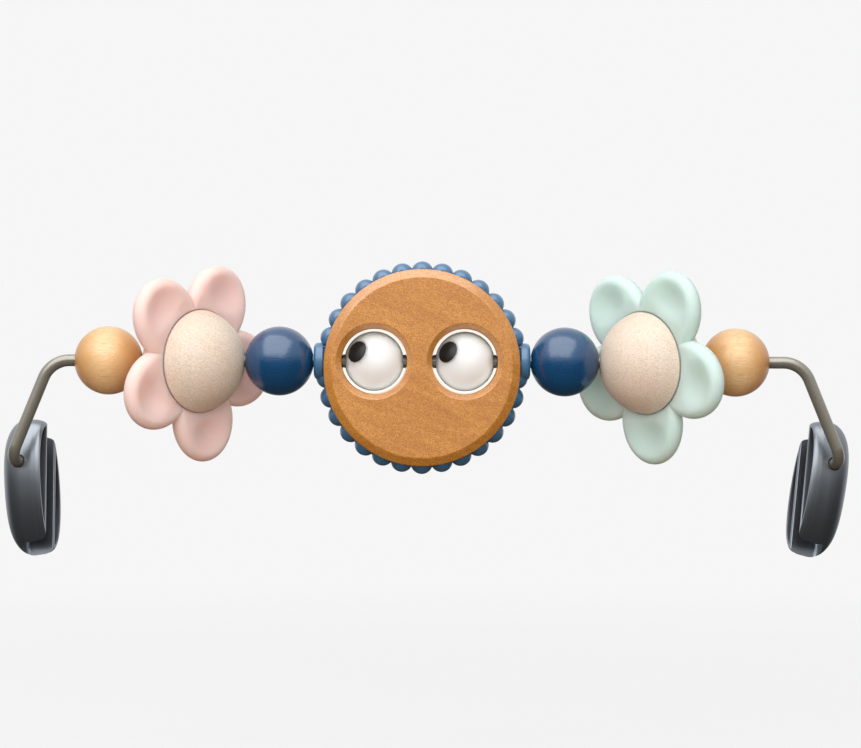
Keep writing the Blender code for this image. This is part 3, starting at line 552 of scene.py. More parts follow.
@dataclass
class BentRod:
    """The round bar with its splayed legs and its ends turned back into the clips."""

    radius: float = 0.003
    running_gap: float = 0.0005
    corner_reach: float = 0.1879
    leg_splay: float = radians(22.1)
    leg_drop: float = 0.0489
    top_bend: float = 0.014
    end_bend: float = 0.0075
    end_to_clip: float = 0.0081
    end_in_clip: float = 0.0092
    toe_in: float = radians(15)
    fall: float = radians(11)
    tip_chamfer: float = 0.0006
    groove_depth: float = 0.0006
    groove_width: float = 0.0022
    groove_from_tip: float = 0.0030
    groove_slope: float = 0.0003
    off_path: tuple[float, ...] = (0.5, 0.5, 0.7)
    sides: int = 56
    bend_steps: int = 28

    @property
    def bore(self) -> float:
        """The radius of a bore that turns on the rod."""
        return self.radius + self.running_gap

    def end_turn(self, side: Side) -> Matrix:
        """Turns +Y to the way an end runs back into its clip."""
        return Matrix.Rotation(side.value * self.toe_in, 4, "Z") @ Matrix.Rotation(-self.fall, 4, "X")

    def end_direction(self, side: Side) -> Vector:
        """The way an end runs back into its clip."""
        return self.end_turn(side).to_3x3() @ Vector((0, 1, 0))

    def leg_foot(self, side: Side) -> Vector:
        """Where a leg's line meets the line of the rod's end."""
        return Vector((side.value * (self.corner_reach + self.leg_drop * tan(self.leg_splay)), 0, -self.leg_drop))

    def clip_mouth(self, side: Side) -> Vector:
        """The mouth of the bore that takes this end."""
        return self.leg_foot(side) + self.end_direction(side) * self.end_to_clip

    def bend(self, before: Vector, corner: Vector, after: Vector, radius: float) -> Array:
        """Points along the arc that rounds a corner.

        With u and w the arm vectors from the arc's centre to its two ends and a the angle between them, the points
        are centre + (sin((1-s)a) u + sin(s a) w) / sin(a) for s from 0 to 1.

        Args:
            before: A point on the run that comes in.
            corner: Where the two runs' lines meet.
            after: A point on the run that goes out.
            radius: The bend's radius.

        Returns:
            The points as an (n, 3) array.
        """
        back, onward = (before - corner).normalized(), (after - corner).normalized()
        half = back.angle(onward) / 2
        centre = corner + (back + onward).normalized() * (radius / sin(half))
        first, last = (corner + run * (radius / tan(half)) - centre for run in (back, onward))
        turn = first.angle(last)
        s = np.linspace(0, 1, self.bend_steps + 1)[:, None]
        return np.array(centre) + (np.sin((1 - s) * turn) * np.array(first)
                                   + np.sin(s * turn) * np.array(last)) / sin(turn)

    def half(self, side: Side) -> tuple[Array, Array]:
        """The stations from one tip to the start of the straight.

        Args:
            side: Which end.

        Returns:
            The points and the bar's radius at each.
        """
        inward = -np.array(self.end_direction(side))
        foot = self.leg_foot(side)
        tip = np.array(foot) - inward * (self.end_to_clip + self.end_in_clip)
        low, groove, slope = self.radius - self.groove_depth, self.groove_from_tip, self.groove_slope
        table = np.array([
            (0, self.radius - self.tip_chamfer),
            (self.tip_chamfer, self.radius),
            (groove, self.radius),
            (groove + slope, low),
            (groove + self.groove_width - slope, low),
            (groove + self.groove_width, self.radius),
        ])
        ends = tip + inward * table[:, :1]
        corner = Vector((side.value * self.corner_reach, 0, 0))
        bends = [self.bend(Vector(ends[-1]), foot, corner, self.end_bend),
                 self.bend(foot, corner, Vector((0, 0, 0)), self.top_bend)]
        points = np.concatenate([ends, *bends])
        return points, np.concatenate([table[:, 1], np.full(len(points) - len(table), self.radius)])

    def mesh(self) -> Mesh:
        """The bar's surface: each station's ring is p + r (cos t n + sin t b), with n and b square to the path."""
        left, left_radii = self.half(Side.LEFT)
        right, right_radii = self.half(Side.RIGHT)
        points = np.concatenate([left, right[::-1]])
        radii = np.concatenate([left_radii, right_radii[::-1]])[:, None, None]
        along = np.gradient(points, axis=0)
        along /= np.linalg.norm(along, axis=1, keepdims=True)
        across = np.cross(along, self.off_path)
        across /= np.linalg.norm(across, axis=1, keepdims=True)
        third = np.cross(along, across)
        t = turns(self.sides)[None, :, None]
        return grid_mesh(points[:, None] + radii * (np.cos(t) * across[:, None] + np.sin(t) * third[:, None]))

    def build(self, effects: Effects) -> None:
        """Makes the rod and paints it."""
        add_piece("rod", self.mesh(), Matrix.Translation(ROD_MIDDLE), ROD_PAINT.look("bar", effects), "bar",
                  "bar_rod")


@dataclass
class TurnedBall:
    """A bored ball with rounded rims."""

    radius: float
    bore: float
    rim: float = 0.0004
    sides: int = 96
    steps: int = 64

    def mesh(self) -> Mesh:
        """The ball's profile, an arc from rim to rim and a straight bore, turned round local Z."""
        mouth = self.bore + self.rim
        reach = sqrt(self.radius**2 - mouth**2)
        start = atan2(reach, mouth)
        rim = arc((mouth, self.rim - reach), self.rim, -pi / 2, -pi, EASE_STEPS)[1:]
        profile = [arc((0, 0), self.radius, start, -start, self.steps), rim, rim[::-1] * (1, -1)]
        return turned(np.concatenate(profile), self.sides, looped=True)


@dataclass
class Beads:
    """The four beads: two of plain wood at the ends and two painted ones beside the face."""

    rod: BentRod
    end_radius: float = 0.0171
    blue_radius: float = 0.0173
    grain_roll: float = radians(25)
    grain_yaw: float = radians(4)

    def build(self, effects: Effects) -> None:
        """Makes the beads, each with its grain lying its own way."""
        kinds = (("end_bead", self.end_radius, MAPLE), ("blue_bead", self.blue_radius, NAVY_PAINT))
        for kind, radius, finish in kinds:
            for side in Side:
                name = f"{side.word}_{kind}"
                middle = joint_place(f"{name}_spin")
                turn = (side.value * self.grain_roll, 0.0, side.value * self.grain_yaw)
                add_piece(f"turned_{name}", TurnedBall(radius, self.rod.bore).mesh(),
                          Matrix.Translation(middle) @ ROD_TURN, finish.look(name, effects, middle, turn),
                          f"{name}_body", name)


@dataclass
class Flower:
    """A dome and a back cap of turned wood with a ring of dished petals between them, bored on the slant."""

    side: Side
    rod: BentRod
    roll: float
    phase: float
    slant: float = radians(48.6)
    dome_radius: float = 0.0263
    base_height: float = 0.0062
    dome_edge: float = 0.0004
    spigot_radius: float = 0.0137
    cap_radius: float = 0.0250
    count: int = 5
    half_length: float = 0.0214
    half_width: float = 0.0193
    centre_reach: float = 0.0297
    half_thickness: float = 0.0046
    mid_height: float = 0.0024
    rim_radius: float = 0.0046
    web_reach: float = 0.0290
    rise_width: float = 0.0076
    groove_inside: float = 0.0004
    groove_outside: float = 0.0005
    groove_depth: float = 0.0016
    dish_depth: float = 0.0027
    dish_centre: float = 0.0368
    dish_half_length: float = 0.0125
    dish_half_width: float = 0.0138
    grain_turn: tuple[float, ...] = (radians(20), radians(35), radians(10))
    crowding: float = 1.7
    samples: int = 48
    front_steps: int = 56
    back_steps: int = 26
    sides: int = 128

    @property
    def base_radius(self) -> float:
        """The dome's radius where it sits on the petals."""
        return sqrt(self.dome_radius**2 - self.base_height**2)

    @property
    def back_height(self) -> float:
        """The height of the petals' flat back."""
        return self.mid_height - self.half_thickness

    @property
    def seat_height(self) -> float:
        """The height of the petals' seat under the dome."""
        return self.base_height - GAP

    def place(self) -> Matrix:
        """The flower's frame: +Z along the dome's axis, +Y up before it rolls."""
        forward = Vector((-self.side.value * sin(self.slant), -cos(self.slant), 0))
        up = Vector((0, 0, 1))
        axes = Matrix((up.cross(forward), up, forward)).transposed().to_4x4()
        middle = joint_place(f"{self.side.word}_flower_spin")
        return Matrix.Translation(middle) @ Matrix.Rotation(self.roll, 4, "X") @ axes

    def bored(self, profile: list[Array]) -> Mesh:
        """Turns a profile and cuts it with the slanting bore for the rod."""
        reach = self.dome_radius + OVERRUN
        along = Vector((cos(self.slant), 0, -self.side.value * sin(self.slant)))
        turn = Vector((0, 0, 1)).rotation_difference(along).to_matrix().to_4x4()
        bore = moved(column(self.rod.bore, -reach, reach, BORE_SIDES), turn)
        return carved(turned(np.concatenate(profile), self.sides), [bore])

    def dome_mesh(self) -> Mesh:
        """The dome's profile, an arc over a flat base with a spigot under it, turned and then bored."""
        edge, height, spigot = self.dome_edge, self.base_height, self.spigot_radius
        return self.bored([
            [(0, self.back_height), (spigot, self.back_height), (spigot, height)],
            arc((self.base_radius - edge, height + edge), edge, -pi / 2, 0, EASE_STEPS)[:-1],
            crown(self.dome_radius, atan2(height + edge, self.base_radius)),
        ])

    def cap_mesh(self) -> Mesh:
        """The back cap's profile, an arc under a flat top, turned and then bored."""
        height = self.back_height - GAP
        start = atan2(height, sqrt(self.cap_radius**2 - height**2))
        return self.bored([[(0, height)], crown(self.cap_radius, start, -1)])

    def notch_turn(self) -> float:
        """Where round its ellipse a petal's outline meets the next petal's, half a petal's pitch from its middle."""
        pitch = pi / self.count
        across = (cos(pitch) / self.half_length) ** 2 + (sin(pitch) / self.half_width) ** 2
        along = self.centre_reach * cos(pitch) / self.half_length**2
        outside = (self.centre_reach / self.half_length) ** 2 - 1
        reach = (along + sqrt(along**2 - across * outside)) / across
        return atan2(reach * sin(pitch) / self.half_width, (reach * cos(pitch) - self.centre_reach) / self.half_length)

    def rim_swell(self, x: Array, y: Array) -> tuple[Array, Array]:
        """How far in from the petals' outline a point is, as a share of the rounded rim, and how thick it is there."""
        ellipse = np.sqrt(((x - self.centre_reach) / self.half_length) ** 2 + (y / self.half_width) ** 2)
        inside = np.maximum((1 - ellipse) * self.half_width, self.web_reach - np.hypot(x, y))
        share = np.clip(inside / self.rim_radius, 0, 1)
        return share, self.half_thickness * np.sqrt(1 - (1 - share) ** 2)

    def front(self, x: Array, y: Array) -> Array:
        """The front height: a rounded rim, less a dish of (1 - q)^2 over each petal, less the seat under the dome."""
        rim, swell = self.rim_swell(x, y)
        hollow = ((x - self.dish_centre) / self.dish_half_length) ** 2 + (y / self.dish_half_width) ** 2
        dish = self.dish_depth * np.maximum(0, 1 - hollow) ** 2
        free = soft_step((np.hypot(x, y) - self.base_radius) / self.rise_width)
        seat = self.mid_height + self.half_thickness - self.seat_height
        return self.mid_height + swell - dish * free - seat * (1 - free) * rim

    def back(self, x: Array, y: Array) -> Array:
        """The back height: flat, with the same rounded rim."""
        return self.mid_height - self.rim_swell(x, y)[1]

    def petal_mesh(self) -> Mesh:
        """The petals: rays from the hub out over the front to the outline r(a) and back underneath.

        Each petal's outline is its ellipse, x = c + l cos t and y = w sin t, from notch to notch, and a ray's points
        lie at shares 1 - (1 - s)^p of the way from the dome's edge to that outline, with p the crowding.
        """
        notch = self.notch_turn()
        turn = notch - 2 * notch * np.arange(self.samples) / self.samples
        x, y = self.centre_reach + self.half_length * np.cos(turn), self.half_width * np.sin(turn)
        rim, angle = np.hypot(x, y)[:, None], np.arctan2(y, x)[:, None]
        base, edge, seat = self.base_radius, self.base_radius + self.groove_outside, self.seat_height
        out = 1 - (1 - np.linspace(0, 1, self.front_steps + 1)[None, :-1]) ** self.crowding
        home = 1 - np.linspace(0, 1, self.back_steps + 1)[None, 1:-1] ** self.crowding
        over, under = edge + (rim - edge) * out, base + (rim - base) * home
        floor, inside, bore = seat - self.groove_depth, base - self.groove_inside, self.spigot_radius + GAP
        table = np.array([(bore, self.back_height), (bore, seat), (inside, seat), (inside, floor), (edge, floor)])
        hub, hub_height = (np.broadcast_to(values, (len(rim), len(table))) for values in table.T)
        reach = np.concatenate([hub, over, rim, under], axis=1)
        height = np.concatenate([hub_height, self.front(over * np.cos(angle), over * np.sin(angle)),
                                 np.full_like(rim, self.mid_height),
                                 self.back(under * np.cos(angle), under * np.sin(angle))], axis=1)
        heading = pi / 2 - self.phase - 2 * pi * np.arange(self.count)[:, None, None] / self.count
        grid = round_points(reach, heading + angle, height)
        return grid_mesh(grid.reshape(self.count * self.samples, -1, 3), looped=True)

    def build(self, effects: Effects) -> None:
        """Makes the flower's three pieces."""
        word, place = self.side.word, self.place()
        petals = (PETAL_PINK if self.side is Side.LEFT else PETAL_MINT).look("petals", effects)
        wood = BIRCH.look(f"{word}_flower", effects, place.translation, self.grain_turn)
        for piece, mesh, look, node in (("dished_petals", self.petal_mesh(), petals, "petals"),
                                        ("turned_dome", self.dome_mesh(), wood, "flower_dome"),
                                        ("turned_back", self.cap_mesh(), wood, "flower_back")):
            add_piece(f"{word}_{piece}", mesh, place, look, f"{word}_flower", f"{word}_{node}")


@dataclass
class GooglyFace:
    """The round face: a scalloped core between two wooden plates, with a cup, ball and pupil for each eye."""

    rod: BentRod
    hang: float = 0.0031
    plate_radius: float = 0.0490
    plate_thickness: float = 0.0075
    plate_sides: int = 240
    chamfer_width: float = 0.0040
    chamfer_depth: float = 0.0028
    edge_ease: float = 0.0005
    hole_chamfer: float = 0.0025
    hole_ease: float = 0.0003
    hole_ease_start: float = radians(144)
    hole_skim: float = 1e-6
    hole_clear: float = 1e-5
    hole_sides: int = 160
    core_radius: float = 0.0478
    core_half: float = 0.0052
    core_rows: int = 15
    knobs: int = 30
    knob_samples: int = 18
    knob_radius: float = 0.0056
    knob_circle: float = 0.0476
    boss_radius: float = 0.00925
    boss_foot: float = 0.0493
    boss_reach: float = 0.0540
    boss_edge: float = 0.0022
    boss_neck: float = 0.0040
    boss_wall: float = 0.0014
    eye_radius: float = 0.0148
    eye_spacing: float = 0.0451
    eye_shift: float = -0.0012
    eye_clearance: float = 0.00035
    cup_wall: float = 0.00095
    cup_ledge: float = 0.0026
    ledge_clearance: float = 0.00022
    rim_below: float = 0.0025
    rim_ease: float = 0.0002
    rim_lip: float = 0.0004
    round_sides: int = 96
    pupil_radius: float = 0.0055
    pupil_thickness: float = 0.0016
    pupil_gap: float = 0.00025
    pupil_sides: int = 64
    pupil_from_rod: float = radians(51)
    eye_roll: float = radians(26.6)
    grain_turn: tuple[float, ...] = (0.0, radians(20), 0.0)

    @property
    def plate_foot(self) -> float:
        """The plates' inner faces."""
        return self.core_half + GAP

    @property
    def plate_face(self) -> float:
        """The plates' outer faces."""
        return self.plate_foot + self.plate_thickness

    @property
    def cup_inner(self) -> float:
        """The eye cups' inner radius."""
        return self.eye_radius + self.eye_clearance

    @property
    def cup_outer(self) -> float:
        """The eye cups' outer radius."""
        return self.cup_inner + self.cup_wall

    @property
    def pupil_edge(self) -> float:
        """How far from its ball's middle a pupil's edge stands."""
        return sqrt(self.eye_radius**2 - self.pupil_radius**2)

    @property
    def pupil_turn(self) -> Matrix:
        """Turns local Z to the way a pupil looks."""
        return Matrix.Rotation(-self.eye_roll, 4, "X") @ Matrix.Rotation(self.pupil_from_rod - pi / 2, 4, "Y")

    def at_eye(self, mesh: Mesh, side: Side) -> Mesh:
        """Shifts a mesh along the rod from the face's middle to an eye."""
        return shifted(mesh, self.eye_shift + side.value * self.eye_spacing / 2)

    def plate_mesh(self, way: Way) -> Mesh:
        """A plate's profile with its broad chamfer and eased edges, turned, and cut for the two eyes."""
        face, foot = self.plate_face, self.plate_foot
        corners = [(0, foot), (self.plate_radius, foot), (self.plate_radius, face - self.chamfer_depth),
                   (self.plate_radius - self.chamfer_width, face), (0, face)]
        plate = turned(eased(corners, self.edge_ease) * (1, way.value), self.plate_sides)
        radius, ease = self.cup_outer + GAP, self.hole_ease
        wide = radius + self.hole_chamfer
        lip = arc((wide + ease, face - ease), ease, self.hole_ease_start, pi / 2, EASE_STEPS)
        lip[:, 1] = np.minimum(lip[:, 1], face - self.hole_skim)
        hole = np.concatenate([
            [(0, foot - OVERRUN), (radius, foot - OVERRUN), (radius, face - self.hole_chamfer)],
            lip,
            [(wide + OVERRUN, face + self.hole_clear), (wide + OVERRUN, face + OVERRUN), (0, face + OVERRUN)],
        ]) * (1, way.value)
        return carved(shifted(plate, y=-self.hang), [self.at_eye(turned(hole, self.hole_sides), side) for side in Side])

    def core_mesh(self) -> Mesh:
        """The core: a disc whose outer radius follows a ring of balls, with a boss at each end of its bore.

        At an angle a off a ball's middle and a height h the radius is c cos a + sqrt(k^2 - (c sin a)^2 - h^2), or
        the disc's own radius where that is more.
        """
        turn = turns(self.knobs * self.knob_samples)
        pitch = 2 * pi / self.knobs
        off = (turn + pitch / 2) % pitch - pitch / 2
        height = self.core_half * np.sin(np.linspace(pi / 2, -pi / 2, self.core_rows))[:, None]
        left_over = self.knob_radius**2 - (self.knob_circle * np.sin(off)) ** 2 - height**2
        ball = self.knob_circle * np.cos(off) + np.sqrt(np.maximum(left_over, 0))
        reach = np.where(left_over > 0, np.maximum(ball, self.core_radius), self.core_radius)
        core = shifted(grid_mesh(round_points(reach, pi / 2 - turn, height)), y=-self.hang)
        through, half = self.boss_reach + OVERRUN, self.core_half + OVERRUN
        bore = moved(column(self.rod.bore, -through, through, BORE_SIDES), ROD_TURN)
        radius = self.cup_outer + self.rod.running_gap
        ways = [self.at_eye(column(radius, -half, half, self.round_sides), side) for side in Side]
        return carved(core, [bore, *ways], tuple(map(self.boss_mesh, Side)))

    def boss_mesh(self, side: Side) -> Mesh:
        """A boss's profile, a neck under a disc with a rounded outer edge, turned round the rod's axis."""
        foot, inner, outer = self.boss_foot, self.boss_radius - self.boss_edge, self.boss_reach - self.boss_edge
        neck = self.rod.bore + self.boss_wall
        profile = np.concatenate([
            [(0, foot - self.boss_neck), (neck, foot - self.boss_neck), (neck, foot)],
            eased([(neck, foot), (self.boss_radius, foot), (self.boss_radius, outer)], self.edge_ease)[1:-1],
            arc((inner, outer), self.boss_edge, 0, pi / 2, 12),
            [(0, self.boss_reach)],
        ])
        return moved(turned(profile, self.round_sides), Matrix.Rotation(side.value * radians(90), 4, "Y"))

    def cup_mesh(self, side: Side) -> Mesh:
        """An eye cup's profile, turned, and notched for the rod.

        Outside it is an arc and a straight wall up to a flat rim with eased edges. The rim ends in a small lip
        inwards, the wall goes down from there to a ledge that follows the ball closely, and an arc runs on below.
        """
        rim, ledge = self.plate_face - self.rim_below, self.cup_ledge
        close = self.eye_radius + self.ledge_clearance
        ledge_reach = sqrt(close**2 - ledge**2)
        profile = np.concatenate([
            crown(self.cup_outer, 0, -1, 40)[::-1],
            eased([(self.cup_outer, 0), (self.cup_outer, rim), (self.cup_inner - self.rim_lip, rim),
                   (self.cup_inner, ledge + self.cup_wall / 2), (ledge_reach, ledge)], self.rim_ease)[1:],
            arc((0, 0), close, atan2(ledge, ledge_reach), 0, 12)[1:],
            crown(self.cup_inner, 0, -1, 40),
        ])
        notch, top, reach = self.rod.radius + GAP, self.plate_face + OVERRUN, self.cup_outer + OVERRUN
        outline = np.concatenate([[(notch, top)], arc((0, 0), notch, 0, -pi, 24), [(-notch, top)]])
        tool = moved(prism(outline, reach), Matrix(((0, 0, 1), (1, 0, 0), (0, 1, 0))).to_4x4())
        return self.at_eye(carved(turned(profile, self.round_sides), [tool]), side)

    def ball_mesh(self) -> Mesh:
        """An eye's bored ball, with the round seat for its pupil."""
        ball = moved(TurnedBall(self.eye_radius, self.rod.bore).mesh(), ROD_TURN)
        seat = column(self.pupil_radius + self.pupil_gap, self.pupil_edge - self.pupil_thickness - GAP,
                      self.eye_radius + OVERRUN, self.pupil_sides)
        return carved(ball, [moved(seat, self.pupil_turn)])

    def pupil_mesh(self) -> Mesh:
        """A pupil's profile, a plug whose outer face carries on the ball's curve, turned."""
        edge, radius = self.pupil_edge, self.pupil_radius
        base = edge - self.pupil_thickness
        profile = np.concatenate([[(0, base), (radius, base)], crown(self.eye_radius, atan2(edge, radius), steps=12)])
        return moved(turned(profile, self.pupil_sides), self.pupil_turn)

    def build(self, effects: Effects) -> None:
        """Makes the core, the plates and the eyes."""
        place = Matrix.Translation(joint_place("face_spin")) @ FACE_TURN
        add_piece("scalloped_core", self.core_mesh(), place, CORE_BLUE.look("face", effects), "face", "face_core",
                  flat=True)
        wood = HONEY_WOOD.look("plates", effects, place.translation, self.grain_turn)
        for way in Way:
            add_piece(f"chamfered_{way.word}_plate", self.plate_mesh(way), place, wood, "face",
                      f"face_{way.word}_plate", flat=True)
        # The cups get the white plastic with a painted warm bounce from the wood in its colour.
        white, ring = EYE_WHITE.look("eyes", effects), EYE_RING_PAINTED_BOUNCE.look("cups", effects)
        black = PUPIL_BLACK.look("eyes", effects)
        for side in Side:
            word = side.word
            spot = Matrix.Translation(joint_place(f"{word}_eye_roll")) @ FACE_TURN
            add_piece(f"{word}_eye_cup", self.cup_mesh(side), place, ring, "face", f"{word}_eye_socket")
            add_piece(f"{word}_rolling_eye", self.ball_mesh(), spot, white, f"{word}_eye", f"{word}_eye_ball")
            add_piece(f"{word}_black_pupil", self.pupil_mesh(), spot, black, f"{word}_eye", f"{word}_pupil")


@dataclass
class SeatClip:
    """An upright oval drum of moulded plastic, slotted for the seat's tube and bored for the rod's end."""

    side: Side
    rod: BentRod
    swing: float
    half_width: float = 0.0110
    half_height: float = 0.0346
    half_depth: float = 0.0150
    back_of_bore: float = 0.0150
    below_bore: float = 0.0141
    oval_power: float = 0.93
    dome_run: float = 0.0120
    fall_in_height: float = 0.0180
    fall_in_depth: float = 0.0100
    taper_reach: tuple[float, ...] = (0.55, 0.82, 0.95, 1.0)
    taper_size: tuple[float, ...] = (0.985, 0.960, 0.932, 0.905)
    rib_width: float = 0.0010
    slot_width: float = 0.0100
    slot_floor: float = 0.0034
    slot_setback: float = 0.0007
    slot_corner: float = 0.0022
    slot_lip: float = 0.0007
    pocket_rim: float = 0.0010
    pocket_lip: float = 0.0011
    pocket_depth: float = 0.0045
    pocket_flare: float = 0.0003
    sides: int = 144
    dome_steps: int = 28
    taper_steps: int = 16
    pocket_samples: int = 1440
    pocket_sides: int = 72
    bore_sides: int = 64

    @property
    def slot_middle(self) -> float:
        """The slot's middle along the bore's axis."""
        return float(self.upright(0.0, self.slot_setback, 0.0)[1])

    def place(self) -> Matrix:
        """The clip's frame: its origin at the bore's mouth, swinging about +Y, the bore's axis."""
        mouth = self.rod.clip_mouth(self.side) + ROD_MIDDLE
        return (Matrix.Translation(mouth) @ self.rod.end_turn(self.side)
                @ Matrix.Rotation(self.side.value * self.swing, 4, "Y"))

    def upright(self, inward: Array | float, back: Array | float, up: Array | float) -> Array:
        """Points of the clip in its own frame, from distances off its middle in upright terms."""
        points = np.broadcast_arrays(-self.side.value * inward, self.back_of_bore + back, up - self.below_bore)
        return np.stack(points, axis=-1) @ np.array(Matrix.Rotation(self.rod.fall, 3, "X")).T

    def oval(self, turn: Array, inward: Array | float, half_depth: Array | float,
             half_height: Array | float) -> Array:
        """Points of an oval across the clip: d |cos t|^p back and h |sin t|^p up, signs kept."""
        halves = ((half_depth, np.cos(turn)), (half_height, np.sin(turn)))
        return self.upright(inward, *(half * np.sign(s) * np.abs(s) ** self.oval_power for half, s in halves))

    def drum_mesh(self) -> Mesh:
        """The drum: ovals that swell from the crown and taper inwards.

        The crown's rows follow a quarter ellipse. The taper's rows follow straight lines through its table.
        """
        fullest = self.dome_run - self.half_width
        angle = np.linspace(pi / 2, 0, self.dome_steps + 1)
        fall = 1 - np.cos(angle)
        crown_rows = (fullest - self.dome_run * np.sin(angle), self.half_depth - self.fall_in_depth * fall,
                      self.half_height - self.fall_in_height * fall)
        share = np.linspace(0, 1, self.taper_steps + 1)[1:]
        size = np.interp(share, (0, *self.taper_reach), (1, *self.taper_size))
        taper_rows = (fullest + (self.half_width - fullest) * share, self.half_depth * size, self.half_height * size)
        rows = np.concatenate([crown_rows, taper_rows], axis=1)[:, :, None]
        return grid_mesh(self.oval(turns(self.sides), *rows))

    def slot_mesh(self) -> Mesh:
        """The slot's tool: a section with a flat floor, rounded corners and eased lips, run along the clip."""
        half, corner, lip = self.slot_width / 2, self.slot_corner, self.slot_lip
        near = np.concatenate([
            [(self.half_width + OVERRUN, -half - lip)],
            arc((self.half_width - lip, -half - lip), lip, 0, pi / 2, 10),
            arc((corner - self.slot_floor, corner - half), corner, 1.5 * pi, pi, 12),
        ])
        outline = np.concatenate([near, near[::-1] * (1, -1)]) * (-self.side.value, 1)
        return shifted(prism(outline, self.half_height + self.half_depth + self.below_bore), y=self.slot_middle)

    def pocket_ring(self, way: Way, inward: float, inset: float) -> Array:
        """A jaw's outline at one level of its sunken end face.

        It is the part of the end's oval, made smaller by the inset, that lies beyond a line beside the slot.

        Args:
            way: The jaw before the slot or the one behind it.
            inward: The level, off the clip's middle.
            inset: How far the outline lies inside the jaw's own.

        Returns:
            The outline's points in the clip's frame.
        """
        size = self.taper_size[-1]
        turn = turns(self.pocket_samples) + (0 if way is Way.FRONT else pi)
        ring = self.oval(turn, inward, self.half_depth * size - inset, self.half_height * size - inset)
        beside = self.slot_width / 2 + self.slot_lip + self.pocket_lip + inset - self.pocket_rim
        kept = ring[(self.slot_middle - way.value * beside - ring[:, 1]) * way.value > 0]
        return kept[np.linspace(0, len(kept) - 1, self.pocket_sides).round().astype(int)]

    def pocket_mesh(self, way: Way) -> Mesh:
        """The tool that sinks a jaw's end face, with a flare at its mouth that eases the rim."""
        rim, flare = self.pocket_rim, self.pocket_flare
        levels = ((self.half_width - self.pocket_depth, rim + flare), (self.half_width - flare, rim),
                  (self.half_width + OVERRUN, rim - flare - OVERRUN))
        return grid_mesh(np.stack([self.pocket_ring(way, *level) for level in levels]))

    def bore_mesh(self) -> Mesh:
        """The blind bore's tool, with the snap rib left standing."""
        rod, radius, half = self.rod, self.rod.bore, self.rib_width / 2
        end, slope = rod.end_in_clip + rod.running_gap, rod.groove_slope
        rib = rod.radius - rod.groove_depth + GAP
        middle = rod.end_in_clip - rod.groove_from_tip - rod.groove_width / 2
        profile = [(0, -rod.end_to_clip), (radius, -rod.end_to_clip), (radius, middle - half - slope),
                   (rib, middle - half), (rib, middle + half), (radius, middle + half + slope), (radius, end),
                   (0, end)]
        return moved(turned(profile, self.bore_sides), Matrix.Rotation(radians(-90), 4, "X"))

    def build(self, effects: Effects) -> None:
        """Makes the clip."""
        word = self.side.word
        mesh = carved(self.drum_mesh(), [self.slot_mesh(), self.bore_mesh(), *map(self.pocket_mesh, Way)])
        add_piece(f"{word}_moulded_clip", mesh, self.place(), CLIP_PLASTIC.look(word, effects),
                  f"{word}_clip_body", f"{word}_clip", flat=True)


@dataclass(frozen=True)
class Lamp:
    """A soft oblong lamp, so far from the rod's middle, that looks at it and that no camera sees."""

    name: str
    offset: tuple[float, ...]
    size: Pair
    power: float
    colour: Colour
    mirrored: bool

    def hang(self) -> None:
        """Hangs the lamp, which glossy surfaces show only where it is mirrored."""
        data = bpy.data.lights.new(self.name, "AREA")
        data.shape = "RECTANGLE"
        data.size, data.size_y = self.size
        data.energy, data.color = self.power, self.colour
        lamp = bpy.data.objects.new(self.name, data)
        lamp.location = spot = ROD_MIDDLE + Vector(self.offset)
        lamp.rotation_euler = (ROD_MIDDLE - spot).to_track_quat("-Z", "Y").to_euler()
        lamp.visible_camera, lamp.visible_glossy = False, self.mirrored
        bpy.context.collection.objects.link(lamp)


def grey(level: float) -> Colour:
    """A grey of this level."""
    return (level,) * 3


